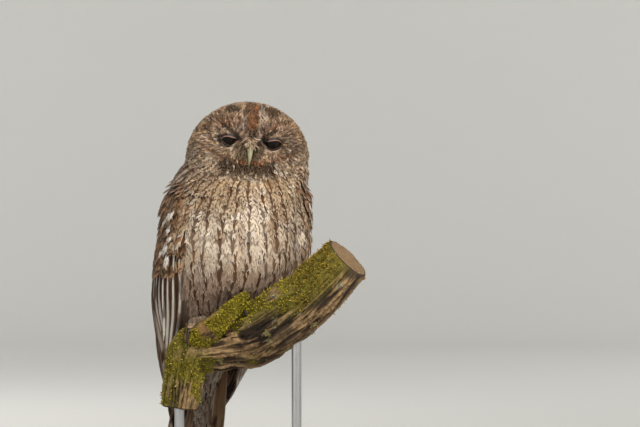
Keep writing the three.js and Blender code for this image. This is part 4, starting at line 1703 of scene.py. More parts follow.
@dataclass
class Wing:
    """One folded wing: coverts in rows over the shoulder, and long barred flight feathers under them."""

    side: int
    name: str
    covert: Cut = Cut(rows=8, columns=5, camber=0.16, depth=4.0, barbs=14, barb=0.25, widest=0.55, tip=0.35)
    flight: Cut = Cut(
        rows=28, columns=9, root=0.6, widest=0.55, tip=0.2, camber=0.02, depth=2.0, settle=0.6, veer=0.0,
        ragged=0.012, tilt=0.085,
    )

    def flights(self, rng: Rng) -> Batch:
        """Primaries and secondaries: rooted in a row, and shorter towards the front and the back edge.

        Args:
            rng: Source of chance.

        Returns:
            The feathers.
        """
        count = 17
        t = (np.arange(count) + 0.3) / count
        lie = WingLie(self.side)
        top = 258.0 - 44.0 * t
        tip = 62.0 + 95.0 * np.abs(t - 0.45) ** 1.6 * 2.0
        roots = WINGS.snap(lie.point(top, t * 0.96 + 0.01))
        behind = smooth(t, 0.22, 0.5)[:, None]
        ground = mix(BROWN * 0.8, BUFF * 0.6, rng.uniform(0, 0.5, (count, 1)))
        ground = mix(mix(RUFOUS * 0.36, ground * 0.8, 0.4), BUFF * 0.75, 0.6 * behind)
        pale = mix(rng.uniform(0.55, 1, count), rng.uniform(0, 0.4, count), behind[:, 0])
        notch = mix(rng.uniform(0, 0.7, count), 1.0, smooth(t, 0.16, 0.45))
        marks = vec(pale, notch, rng.random(count))
        width = mix(12.0, 18.0, smooth(t, 0, 0.5))
        unwrap = vec(0.1 + 0.8 * t, 0.5)
        return Batch(roots, (top - tip) * 1.06, width, ground, marks, unwrap, np.full(count, -1.3))

    def coverts(self, rng: Rng) -> Batch:
        """Coverts in rows down the wing, paler near the front edge.

        Args:
            rng: Source of chance.

        Returns:
            The feathers.
        """
        lie = WingLie(self.side)
        rows = []
        z = 313.0
        for row in range(8):
            size = 7.6 + 0.28 * row
            count = 5 + int(WRAP.at("half", z) * math.radians(WING.at("aft", z) - WING.at("fore", z)) / size)
            t = (np.arange(count) + 0.5 * (row % 2)) / (count - 0.5)
            rows.append(vec(z, t, row))
            z -= size
        z, t, row = np.concatenate(rows).T
        low = row / 7.0
        z = z + rng.normal(0, 1, len(z)) * (1.6 + 4.0 * low**3) - 9.0 * low * np.sin(3.0 * t)
        z = z + 4.0 * t * low
        roots = WINGS.snap(lie.point(z, np.clip(t, 0.0, 1.0) * 0.98 + 0.01))
        warm = rng.uniform(0.1, 1, (len(t), 1))
        ground = mix(BROWN * 0.65, mix(RUFOUS, BUFF, 0.35) * 1.05, warm**1.4)
        ground = wash(ground, CREAM * 0.8, smooth(t, 0.34, 0.05) * rng.uniform(0, 1, len(t)) ** 2)
        marks = vec(1.0, 0.8, rng.random(len(t)))
        length = mix(18.0, 29.0, low)
        unwrap = vec(0.04 + 0.92 * t, 0.04 + 0.92 * low)
        height = rng.normal(0.2, 0.3, len(t)) + self.rise(z) - 1.7 * low**2
        return Batch(roots, length, length * 0.52, ground, marks, unwrap, height)

    def spots(self, rng: Rng) -> Batch:
        """The white spots down the shoulder, each the showing web of one covert.

        Args:
            rng: Source of chance.

        Returns:
            The webs.
        """
        z = np.array([289.0, 283.0, 268.0, 261.0, 252.0, 274.0, 243.0, 236.0])
        t = np.array([0.08, 0.15, 0.15, 0.10, 0.16, 0.24, 0.22, 0.13])
        size = np.array([1.6, 1.1, 1.05, 1.15, 1.35, 1.0, 0.95, 1.1]) * (1.0 if self.side < 0 else 0.66)
        count = len(z)
        roots = WINGS.snap(WingLie(self.side).point(z + 6.0, t))
        ground = vec(0.95, 0.90, 0.83) * rng.uniform(0.82, 1, (count, 1))
        marks = vec(0.85, 0.4, rng.random(count))
        unwrap = vec(0.02 + 0.9 * t, z / 400.0)
        height = rng.uniform(0.7, 1.1, count) + self.rise(z + 6.0)
        return Batch(roots, 15.0 * size, 6.2 * size, ground, marks, unwrap, height)

    def rise(self, z: Array) -> Array:
        """How far the shoulder's coverts stand over the form: puffed out on the right, tucked in left."""
        return 3.0 * bell(z, 299, 10) if self.side < 0 else -2.2 * smooth(z, 296, 310)

    def build(self) -> None:
        """Lays the flight feathers, then the coverts and the spots over them."""
        rng = np.random.default_rng(SEED + 5 + self.side)
        lie = WingLie(self.side)
        cut = replace(self.flight, hand=-float(self.side))
        publish(f"flight_{self.name}", lay(WINGS, lie, self.flights(rng), cut, rng), FLIGHT)
        coat = [lay(WINGS, lie, part, self.covert, rng) for part in (self.coverts(rng), self.spots(rng))]
        publish(f"coat_wing_{self.name}", Shape.join(coat), COVERT)


@dataclass
class Tail:
    """The closed tail: barred feathers side by side, the middle pair outermost."""

    root: Triple = (-14.0, 40.0, 188.0)
    tip: Triple = (-42.0, 47.0, 32.0)
    count: int = 12
    wide_root: float = 12.0
    wide_tip: float = 25.0
    cut: Cut = Cut(rows=22, columns=7, root=0.5, widest=0.8, tip=0.3, camber=0.1)

    def build(self) -> None:
        """Sets out each shaft as a straight line that spreads from the root, under a vane 17 mm wide."""
        rng = np.random.default_rng(SEED + 9)
        v, x = self.cut.stations(), np.linspace(-1, 1, self.cut.columns)
        s = np.linspace(-1, 1, self.count)[:, None, None]
        root, tip = np.array(self.root), np.array(self.tip)
        along = unit(tip - root)
        over = np.cross(along, [1.0, 0.0, 0.0])
        over = unit(over * np.sign(over[1]))
        across = np.cross(over, along)
        length = np.linalg.norm(tip - root) - 9.0 * s * s
        half = 8.5 * self.cut.half(v)[None, :, None]
        side = mix(self.wide_root, self.wide_tip, v[None, :, None]) * s * 0.85 + half * x
        rise = 2.6 - 4.6 * np.abs(s) - 0.09 * half * x * x + 0.7 * np.abs(s) * x * np.sign(s)
        rise = rise - 0.006 * side * side
        grid = root + along * (length * v[None, :, None] + 0.0 * x)[..., None] + across * side[..., None]
        grid = grid + over * (rise + 0.0 * side)[..., None]
        ground = mix(BROWN * 1.3, BUFF * 0.8, rng.uniform(0.2, 0.7, (self.count, 1)))
        marks = vec(0.3, 1.0, rng.random(self.count))
        unwrap = vec(np.linspace(0.1, 0.9, self.count), 0.5)
        publish("flight_tail", ribbons(grid, x, v[:, None], ground, marks, unwrap), FLIGHT)


# ---------- paths and tubes ----------


class Path:
    """A centripetal Catmull-Rom curve, sampled evenly by length, with a frame that keeps facing one way."""

    def __init__(self, points: Array, facing: Array, samples: int = 400) -> None:
        """Samples cubics with slopes from their neighbours, over knots spaced by the root of the distance.

        Args:
            points: Points to pass through.
            facing: A direction that the frame's normal stays close to.
            samples: How many samples.
        """
        p = np.concatenate([[2 * points[0] - points[1]], points, [2 * points[-1] - points[-2]]])
        knots = np.sqrt(np.linalg.norm(np.diff(p, axis=0), axis=1))[:, None]
        rise = np.diff(p, axis=0) / knots
        slope = rise[:-1] + rise[1:] - (p[2:] - p[:-2]) / (knots[:-1] + knots[1:])
        t = np.linspace(0, len(points) - 1.0, samples * 4)
        i = np.minimum(t.astype(int), len(points) - 2)
        u, span = (t - i)[:, None], knots[i + 1]
        curve = hermite(points, slope, span, i, u)
        run = np.concatenate([[0.0], np.cumsum(np.linalg.norm(np.diff(curve, axis=0), axis=1))])
        even = np.linspace(0, run[-1], samples)
        self.length = run[-1]
        self.points = np.stack([np.interp(even, run, curve[:, k]) for k in range(3)], -1)
        self.along = unit(np.gradient(self.points, axis=0))
        self.normal = unit(facing - self.along * dot(self.along, facing))
        self.side = np.cross(self.along, self.normal)

    def frame(self, share: Array) -> tuple[Array, Array, Array, Array]:
        """The point, direction, normal and side at shares of the length.

        Args:
            share: Shares of the path's length.

        Returns:
            The four, each of shape (..., 3).
        """
        at = np.clip(share, 0.0, 1.0) * (len(self.points) - 1)
        i = np.minimum(at.astype(int), len(self.points) - 2)
        t = (at - i)[..., None]
        parts = (self.points, self.along, self.normal, self.side)
        return tuple(mix(a[i], a[i + 1], t) for a in parts)

    def around(self, share: Array, angle: Array, radius: Array, flat: float = 1.0) -> Array:
        """Points round the path: the normal by cos(angle) and the side by sin(angle), times the radius.

        Args:
            share: Shares of the length.
            angle: Angles from the normal.
            radius: Radii.
            flat: Size along the normal against that along the side.

        Returns:
            The points.
        """
        centre, _, normal, side = self.frame(share)
        c, s = np.cos(angle)[..., None] * flat, np.sin(angle)[..., None]
        return centre + (normal * c + side * s) * radius[..., None]


def closed_loft(rings: Array) -> Shape:
    """Rings of points joined into a surface, with a fan over each end.

    Args:
        rings: Points, ring by ring.

    Returns:
        The closed shape.
    """
    count, sides, _ = rings.shape
    points = np.concatenate([rings.reshape(-1, 3), rings[[0, -1]].mean(1)])
    first, last = np.arange(sides), np.arange(sides) + (count - 1) * sides
    ends = [fan_faces(first, count * sides), fan_faces(last[::-1], count * sides + 1)]
    return Shape(points, [grid_faces(count, sides, True), *ends]).outwards()


@dataclass
class TubeForm(Form):
    """A tube round a path, between two radii, as a form for feathers to lie on."""

    path: Path
    start: float
    end: float

    def nearest(self, p: Array) -> Array:
        """Index of the path's nearest sample to each point.

        Args:
            p: Points.

        Returns:
            The indices.
        """
        q = self.path.points
        square = (p**2).sum(-1, keepdims=True) - 2.0 * p @ q.T + (q**2).sum(-1)
        return square.argmin(-1)

    def measure(self, p: Array) -> Array:
        """Distance from the path over the tube's radius there.

        Args:
            p: Points.

        Returns:
            The measure, 1 on the tube.
        """
        i = self.nearest(p)
        d = p - self.path.points[i]
        inside = ((i > 0) & (i < len(self.path.points) - 1))[..., None]
        d = d - np.where(inside, self.path.along[i] * dot(d, self.path.along[i]), 0.0)
        return np.linalg.norm(d, axis=-1) / mix(self.start, self.end, i / (len(self.path.points) - 1))


@dataclass
class TubeLie(Lie):
    """The lie along a tube, from its start to its end."""

    form: TubeForm

    def at(self, p: Array, n: Array) -> Array:
        """The path's direction at its nearest sample, laid on the surface."""
        d = self.form.path.along[self.form.nearest(p)]
        return unit(d - n * dot(d, n) + 1e-6)


# ---------- feet and perch ----------

LIMB = np.array(
    [
        (-51, -15, 86, 18),
        (-47, -15, 114, 18.5),
        (-37, -16, 143, 22),
        (-8, -19, 150, 27),
        (22, -25, 158, 30.5),
        (56, -55, 178, 29),
        (82, -70, 199, 27),
        (116, -82, 234, 24),
    ],
    float,
)
VIEWER = vec(0.0, -1.0, 0.0)
LIMB_PATH = Path(LIMB[:, :3], VIEWER)


def limb_radius(share: Array) -> Array:
    """The limb's radius at shares of its length, stepping softly between its points.

    Args:
        share: Shares of the limb's length.

    Returns:
        The radii.
    """
    spots = np.array([np.linalg.norm(LIMB_PATH.points - p, axis=1).argmin() for p in LIMB[:, :3]])
    spots = spots / (len(LIMB_PATH.points) - 1.0)
    i = np.clip(np.searchsorted(spots, share) - 1, 0, len(LIMB) - 2)
    return mix(LIMB[i, 3], LIMB[i + 1, 3], smooth(share, spots[i], spots[i + 1]))


UP = vec(0.0, 0.0, 1.0)


class Toe(Enum):
    """The toes of one foot: how far each leans along the limb, and whether it points ahead or behind."""

    INNER = (-9.0, 1.0)
    MIDDLE = (1.0, 1.0)
    OUTER = (11.0, 1.0)
    HIND = (0.0, -1.0)


@dataclass
class Foot:
    """One feathered foot that grips the limb, with its shank and claws."""

    name: str
    share: float
    radius: float = 4.6
    length: float = 27.0
    claw: float = 13.0
    claw_radius: float = 2.1
    cut: Cut = Cut(rows=5, columns=3, root=0.7, tip=0.3, camber=0.4, depth=1.6, veer=0.15)

    def over_limb(self, toe: Toe, start: float, end: float, lift: Array) -> Path:
        """A path that starts on top of the limb and follows it round.

        Args:
            toe: Which toe.
            start: Where it starts, as a length from the top.
            end: Where it ends.
            lift: Heights over the limb at even steps.

        Returns:
            The path.
        """
        lean, ahead = toe.value
        at = np.array(self.share)
        centre, along, _, _ = LIMB_PATH.frame(at)
        along = unit(along * np.sign(along[0]))
        up = unit(UP - along * along[2])
        front = np.cross(up, along) * vec(1.0, 1.0, 0.0)
        front = unit(front * -np.sign(front[1]))
        run = np.linspace(start, end, len(lift))[:, None]
        radius = float(limb_radius(at)) + lift[:, None]
        angle = ahead * run / radius
        points = centre + up * radius * np.cos(angle) + front * radius * np.sin(angle)
        return Path(points + along * lean * run / self.length, up + 0.01, 60)

    def shank(self) -> Path:
        """From the belly down to the heel.

        Returns:
            The path.
        """
        heel = self.over_limb(Toe.MIDDLE, 0.0, 1.0, np.full(6, self.radius * 1.6)).points[0]
        hip = heel + vec(-2.0, 10.0, 24.0)
        return Path(np.array([hip, (heel + hip) / 2.0, heel]), VIEWER, 60)

    def toe_path(self, toe: Toe) -> Path:
        """From the heel to the root of the claw."""
        return self.over_limb(toe, -3.0, self.length, np.full(6, self.radius + 0.8))

    def flesh(self) -> list[Shape]:
        """Skin of the shank and the toes, a feather's depth inside their plumage.

        Returns:
            One shape for the shank and one for each toe.
        """
        share, angle = tube_grid(14, 14)
        made = [closed_loft(self.shank().around(share, angle, mix(13.0, 8.0, share)))]
        for toe in Toe:
            knuckle = 1.0 + 0.06 * np.sin(share * 15.0) + 0.35 * bell(share, 0.9, 0.08)
            radius = (self.radius - 0.9) * (1.0 - 0.25 * share) * knuckle * np.sqrt(1.0 - 0.8 * share**12)
            made.append(closed_loft(self.toe_path(toe).around(share, angle, radius)))
        return made

    def claws(self) -> None:
        """Four hooked claws, each a tapering tube."""
        share, angle = tube_grid(24, 16)
        s = np.linspace(0, 1, 6)
        lift = self.radius + 1.2 + 1.2 * np.sin(np.pi * s) - 3.4 * s
        for toe in Toe:
            path = self.over_limb(toe, self.length - 1.0, self.length + 0.35 + self.claw, lift)
            radius = self.claw_radius * (1.0 - 0.93 * share**1.3) * (1.0 + 0.05 * np.cos(2 * angle))
            shape = closed_loft(path.around(share, angle, radius)).tinted(vec(0.03, 0.024, 0.02))
            name = f"claw_{self.name}_{toe.name.lower()}"
            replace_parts(publish(f"fine_{name}", shape, CLAW), name)

    def coat(self) -> Shape:
        """Short feathers down the shank and over the toes, to the claws.

        Returns:
            All the feathers.
        """
        rng = np.random.default_rng(SEED + 31 + len(self.name))
        parts = []
        tubes = [(self.shank(), 14.6, 9.0, 9.0, 0.92)]
        tubes += [(self.toe_path(toe), self.radius + 0.1, self.radius * 0.78, 7.0, 0.7) for toe in Toe]
        for path, start, end, size, reach in tubes:
            form = TubeForm(path, start, end)
            count = int(path.length * 2 * np.pi * (start + end) / 2 / (0.055 * size * size))
            share, angle = rng.random(count) * reach, rng.uniform(0, 2.0 * np.pi, count)
            roots = path.around(share, angle, mix(start, end, share))
            tone = rng.uniform(0, 1, (count, 1))
            ground = mix(GREY, BUFF, tone) * rng.uniform(0.35, 0.8, (count, 1))
            marks = vec(rng.uniform(0, 0.5, count), 0.0, rng.random(count))
            unwrap = vec(0.02 + 0.18 * (len(parts) + angle / 7.0), 0.05 + 0.9 * share)
            length = size * rng.uniform(0.8, 1.15, count)
            width, height = np.full(count, 0.3 * size), rng.normal(0, 0.2, count)
            plumes = Batch(roots, length, width, ground, marks, unwrap, height)
            parts.append(lay(form, TubeLie(form), plumes, self.cut, rng))
        return Shape.join(parts)


@dataclass
class Perch:
    """A short length of old limb with furrowed bark, moss on its upper side, and a splinter in front."""

    rows: int = 336
    sides: int = 240
    splinter: tuple[Triple, ...] = ((-42, -30, 147), (-14, -54, 169), (4, -58, 185), (18, -57, 200))
    wide: float = 12.5
    deep: float = 5.0

    def wood(self) -> Shape:
        """The limb: a radius with broad ridges, furrows along the grain and fine roughness, and cut ends.

        Returns:
            The coloured shape.
        """
        share, angle = tube_grid(self.rows, self.sides)
        radius = limb_radius(share)
        round_ = vec(np.cos(angle) * 28.0, np.sin(angle) * 28.0, share * LIMB_PATH.length * 0.16)
        ridges = np.sin(5 * angle + 4 * share) + 0.6 * np.sin(9 * angle - 11 * share)
        furrow = 1.0 - np.abs(noise(round_, 7, 41, 3)) * 2.4
        crack = -smooth(np.abs(noise(round_ * vec(1.0, 1.0, 0.45), 4, 43, 2)), 0.10, 0)
        p = LIMB_PATH.around(share, angle, radius)
        fine = noise(p, 2.2, 44, 3)
        bump = 0.9 * ridges + 2.4 * furrow + 2.2 * crack + 0.9 * fine - 0.9
        bump = bump * (1.0 - 0.7 * smooth(np.abs(2.0 * share - 1.0), 0.93, 1))
        p = LIMB_PATH.around(share, angle, radius + bump)
        top = unit(p - LIMB_PATH.frame(share)[0])[..., 2]
        shape, ends = self.capped(p)
        green = self.moss_share(p, top)
        tan = vec(0.22, 0.125, 0.055)
        pale = vec(0.40, 0.275, 0.14)
        dark = vec(0.034, 0.022, 0.014)
        colour = wash(tan, pale, smooth(fine + furrow, 0.2, 1.4))
        colour = wash(colour, dark, smooth(0.75 - furrow, 0, 0.6) - crack)
        colour = wash(colour, dark * 2.0, 0.65 * smooth(noise(p, 20, 46, 3), -0.05, 0.4))
        lichen = smooth(noise(p, 9, 47, 2), 0.42, 0.55) * smooth(fine, -0.4, 0.2)
        colour = wash(colour, vec(0.36, 0.38, 0.30), 0.7 * lichen)
        colour = wash(colour, vec(0.17, 0.15, 0.018), 0.9 * green)
        shape.colours["Ground"] = np.concatenate([colour.reshape(-1, 3), ends])
        return shape

    def capped(self, p: Array) -> tuple[Shape, Array]:
        """Closes the limb's two ends with rings that shrink to the middle over a worn, uneven cut.

        Args:
            p: Points of the limb's side.

        Returns:
            The shape, and the cuts' colours: growth rings, radial cracks and a dark rim of bark.
        """
        tones = []
        turn = circle(self.sides)
        parts, faces = [p.reshape(-1, 3)], [grid_faces(self.rows, self.sides, True)]
        start = self.rows * self.sides
        for row, sign in ((0, -1.0), (-1, 1.0)):
            rim, middle = p[row], p[row].mean(0)
            along = LIMB_PATH.along[row] * sign
            scale = np.concatenate([[0.985, 0.95], np.linspace(0.9, 0.05, 22)])[:, None, None]
            rings = middle + (rim - middle) * scale
            wear = noise(rings, 5, 48, 2) * 0.7 + 0.35 * np.sin(scale[..., 0] * 40.0)
            spokes = vec(np.cos(turn) * 9.0, np.sin(turn) * 9.0, 5.0 * row)
            split = smooth(np.abs(noise(spokes, 4.5, 49, 2)), 0.05, 0) * smooth(scale[..., 0], 0.1, 0.8)
            rings = rings + along * (wear - 1.3 * split + 1.2 * smooth(scale[..., 0], 1, 0.93))[..., None]
            growth = 0.5 + 0.5 * np.sin(scale[..., 0] * 75.0 + 4.0 * noise(rings, 9, 50, 2))
            tone = wash(vec(0.17, 0.10, 0.05), vec(0.34, 0.235, 0.13), growth)
            rim_bark = smooth(scale[..., 0], 0.9, 0.97)
            tone = wash(tone, vec(0.03, 0.02, 0.014), np.maximum(0.9 * split, rim_bark))
            tones.append(np.concatenate([tone.reshape(-1, 3), tone[-1:, 0]]))
            edge = np.arange(self.sides) + (0 if row == 0 else (self.rows - 1) * self.sides)
            inner = start + np.arange(len(scale) * self.sides).reshape(len(scale), -1)
            stack = np.concatenate([edge[None], inner])
            if row == 0:
                stack = stack[::-1]
            a, b = stack[:-1], stack[1:]
            faces.append(vec(a, b, np.roll(b, -1, 1), np.roll(a, -1, 1)).reshape(-1, 4))
            hub = start + inner.size
            ring = inner[-1] if row == 0 else inner[-1][::-1]
            faces.append(fan_faces(ring, hub))
            parts += [rings.reshape(-1, 3), middle[None] + along * 1.2]
            start = hub + 1
        return Shape(np.concatenate(parts), faces).outwards(), np.concatenate(tones)

    @staticmethod
    def moss_share(p: Array, top: Array) -> Array:
        """How mossy the wood is: in patches on its upper side, most to the right, and down the stub.

        Args:
            p: Points.
            top: How far each point faces up, from -1 to 1.

        Returns:
            A share for each point.
        """
        patch = noise(p, 22, 51, 3) + 0.25 * smooth(p[..., 0], 20, 70)
        stub = smooth(p[..., 2], 150, 128) * smooth(noise(p, 26, 52, 3) - 0.008 * p[..., 0], 0.15, 0.4)
        reach = 0.4 * smooth(p[..., 0], 35, 70)
        return np.maximum(smooth(top + reach, -0.15, 0.35) * smooth(patch, -0.35, 0.05), stub)

    def strip(self) -> Shape:
        """The torn strip that stands off the limb's front: flat, grained, pointed, and green on its face.

        Returns:
            The strip.
        """
        path = Path(np.array(self.splinter, float), VIEWER + 0.01, 160)
        share, angle = tube_grid(150, 90)
        p = path.around(share, angle, np.full(share.shape, 6.0))
        grain = noise(vec(np.cos(angle) * 8, np.sin(angle) * 8, share * 9), 2.6, 61, 3)
        ends = np.sqrt(np.clip(1.0 - np.abs(2 * share - 1.0) ** 9, 0.02, 1.0))
        torn = 0.12 * noise(vec(share * 40.0, angle, 0.0), 2, 63, 2)
        radius = self.wide * (1.0 - 0.72 * share**2.2) * (1.0 + 0.2 * grain + torn) * ends
        q = path.around(share, angle, radius, self.deep / self.wide)
        shape = closed_loft(q)
        rise = unit(q - path.frame(share)[0])
        edge = smooth(rise[..., 2], 0.55, 0.8) * smooth(share, 0.75, 0.5)
        green = smooth(0.9 * noise(p, 9, 62, 2) + share * 0.9, 0, 0.25) * (1.0 - edge)
        colour = wash(vec(0.30, 0.17, 0.065), vec(0.06, 0.034, 0.018), smooth(grain, 0.05, 0.4))
        colour = wash(colour, vec(0.20, 0.18, 0.014), 0.92 * green)
        return shape.tinted(colour)

    def moss(self, wood: Shape, count: int, tall: float, seed: int) -> Shape:
        """Tiny leafy shoots that stand on the mossy parts of a piece of wood.

        Args:
            wood: The wood.
            count: How many shoots.
            tall: Length of the longest.
            seed: Seed of chance.

        Returns:
            The shoots.
        """
        rng = np.random.default_rng(seed)
        quads = wood.faces[0]
        a, b, c = (wood.points[quads[:, k]] for k in (0, 1, 3))
        normal = np.cross(b - a, c - a)
        area = np.linalg.norm(normal, axis=1)
        shade = wood.colours["Ground"][quads[:, 0]]
        green = smooth(shade[:, 1] / shade[:, 0], 0.76, 0.86)
        weight = area * green
        pick = rng.choice(len(quads), count, p=weight / weight.sum())
        s, t = rng.random((2, count, 1))
        root = a[pick] + (b - a)[pick] * s + (c - a)[pick] * t
        n = unit(normal[pick])
        d = unit(n + rng.normal(0, 0.55, n.shape) + UP * 0.25)
        side = unit(np.cross(d, rng.normal(0, 1, n.shape)))
        face = np.cross(side, d)
        length = rng.uniform(0.3, 1, (count, 1)) * tall
        v, x = np.array([0.0, 0.35, 0.75, 1.0]), vec(-1.0, 0.0, 1.0)
        wide = np.array([0.5, 0.62, 0.4, 0.08])
        bend = (0.3 * v * v)[None, :, None]
        spine = root[:, None] - n[:, None] * 0.4 + d[:, None] * (length * v)[..., None]
        spine = spine + face[:, None] * length[:, None] * bend
        grid = spine[:, :, None] + side[:, None, None] * (wide[:, None] * x)[..., None]
        grid = grid + face[:, None, None] * (0.22 * (1.0 - x * x) * wide[:, None])[..., None]
        tone = rng.random((count, 1))
        ground = mix(vec(0.09, 0.08, 0.006), vec(0.74, 0.60, 0.05), tone**1.5)
        ground = ground * mix(1.0, vec(0.8, 0.62, 0.7), smooth(root[:, :1], 50, 80))
        marks = vec(0.0, 0.0, rng.random(count))
        return ribbons(grid, x, v[:, None], ground, marks, np.full((count, 2), 0.5))

    def build(self) -> None:
        """Publishes the wood, the splinter and the moss."""
        wood, splinter = self.wood(), self.strip()
        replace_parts(publish("fine_perch", wood, BARK, 60.0), "perch")
        publish("fine_splinter", splinter, BARK, 60.0)
        publish("moss_low", self.moss(wood, 9000, 2.6, 71), MOSS)
        publish("moss_tall", self.moss(wood, 4500, 4.2, 73), MOSS)
        publish("moss_splinter", self.moss(splinter, 3600, 3.4, 72), MOSS)


# ---------- skin, eyes and bill ----------


def box_centre(node: str) -> Array:
    """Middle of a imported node's box, in millimetres."""
    lo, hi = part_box(node)
    return np.array((lo + hi) / 2) / MM


@dataclass
class Skin:
    """One skin under the coat: head, neck, trunk, shanks and toes run together with no seam."""

    turns: int = 120
    voxel: float = 1.7
    depth_body: float = 5.4
    depth_head: float = 3.6
    depth_face: float = 2.1

    def torso(self) -> Shape:
        """The body's form, sunk by the coat's depth.

        Levels run over the dome by CHEEK_Z + DOME sin(a), down the sides, and under the belly by
        BELLY_Z - BELLY_DROP sin(b), with sections closed by cos(a) and cos(b).

        Returns:
            The closed shape.
        """
        a = np.linspace(1.52, 0, 34)
        b = np.linspace(0, 1.5, 34)
        side = np.linspace(CHEEK_Z, BELLY_Z, 42)[1:-1]
        z = np.concatenate([CHEEK_Z + DOME * np.sin(a), side, BELLY_Z - BELLY_DROP * np.sin(b)])
        close = np.concatenate([np.cos(a), np.ones(len(side)), np.cos(b)])
        z, turn = np.meshgrid(z, np.linspace(-180, 180, self.turns + 1)[:-1], indexing="ij")
        level = np.minimum(z, CHEEK_Z)
        middle = vec(TORSO.at("x", z), TORSO.at("y", z), level)
        p = middle + (section_point(TORSO, level, turn) - middle) * close[:, None, None]
        p[..., 2] = z
        p = BODY.snap(p)
        f = FACE.inward(p)
        head = smooth(p[..., 2], 300, 322)
        face = head * (1.0 - smooth(f[..., 1], 16, 40))
        depth = mix(mix(self.depth_body, self.depth_head, head), self.depth_face, face)
        return closed_loft(BODY.snap(p, -depth))

    def build(self, feet: list[Foot]) -> None:
        """Joins the parts by a fine voxel remesh, smooths the seams away, and colours the skin.

        Args:
            feet: The feet, whose flesh belongs to the skin.
        """
        parts = [self.torso()] + [shape for foot in feet for shape in foot.flesh()]
        whole = Shape.join(parts)
        mesh = bpy.data.meshes.new("flesh")
        mesh.from_pydata(whole.points.tolist(), [], [f for part in whole.faces for f in part.tolist()])
        draft = add("flesh", mesh)
        remesh = draft.modifiers.new("join", "REMESH")
        remesh.mode, remesh.voxel_size = "VOXEL", self.voxel
        calm = draft.modifiers.new("calm", "SMOOTH")
        calm.iterations, calm.factor = 4, 0.5
        made = draft.evaluated_get(bpy.context.evaluated_depsgraph_get()).to_mesh()
        points, quads = np.empty(len(made.vertices) * 3), np.empty(len(made.loops), np.int32)
        made.vertices.foreach_get("co", points)
        made.loops.foreach_get("vertex_index", quads)
        bpy.data.objects.remove(draft)
        points = points.reshape(-1, 3)
        ground = PATTERN.ground(points) * 0.75
        toes = smooth(points[:, 2], 200, 190) * (BODY.measure(points) > 0.97) * (points[:, 1] < 14.0)
        ground = wash(ground, vec(0.42, 0.27, 0.19), toes)
        shape = Shape(points, [quads.reshape(-1, 4)]).outwards().tinted(ground)
        skin = publish("skin", shape, SKIN, 180.0)
        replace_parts(skin, "head", "neck", "trunk", "wing_right", "wing_left", "tail")
        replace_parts(skin, "leg_right", "leg_left", "foot_right", "foot_left")


@dataclass
class BallForm(Form):
    """A sphere, as a form for feathers to lie on."""

    centre: Array
    radius: float

    def measure(self, p: Array) -> Array:
        """Distance from the centre over the radius."""
        return np.linalg.norm(p - self.centre, axis=-1) / self.radius


@dataclass
class LidLie(Lie):
    """The lie of the lids' small feathers: away from the slit between the lids."""

    centre: Array
    out: float  # which way along the face's x leads away from the bill

    def at(self, p: Array, n: Array) -> Array:
        """Up or down from the slit, and a little outwards.

        Args:
            p: Points.
            n: The surface's normals there.

        Returns:
            The directions in which feathers lie.
        """
        f = (p - self.centre) @ FACE.axes()
        up = np.where(f[..., 2] > -3.0, 1.0, -1.0)
        d = vec(0.35 * self.out + 0.05 * f[..., 0], 0.0, up) @ FACE.axes().T
        return unit(d - n * dot(d, n))


LIDS = Levels(
    "x upper lower",
    (
        (11.6, -2.9, -3.0),
        (10.2, -2.4, -2.7),
        (7, -0.9, -5.4),
        (4, 0.3, -6.9),
        (0, 1.3, -7.6),
        (-5, 1.9, -6.2),
        (-8, 0.8, -3.7),
        (-9.6, -0.7, -0.9),
        (-11.6, -0.9, -1.0),
    ),
)


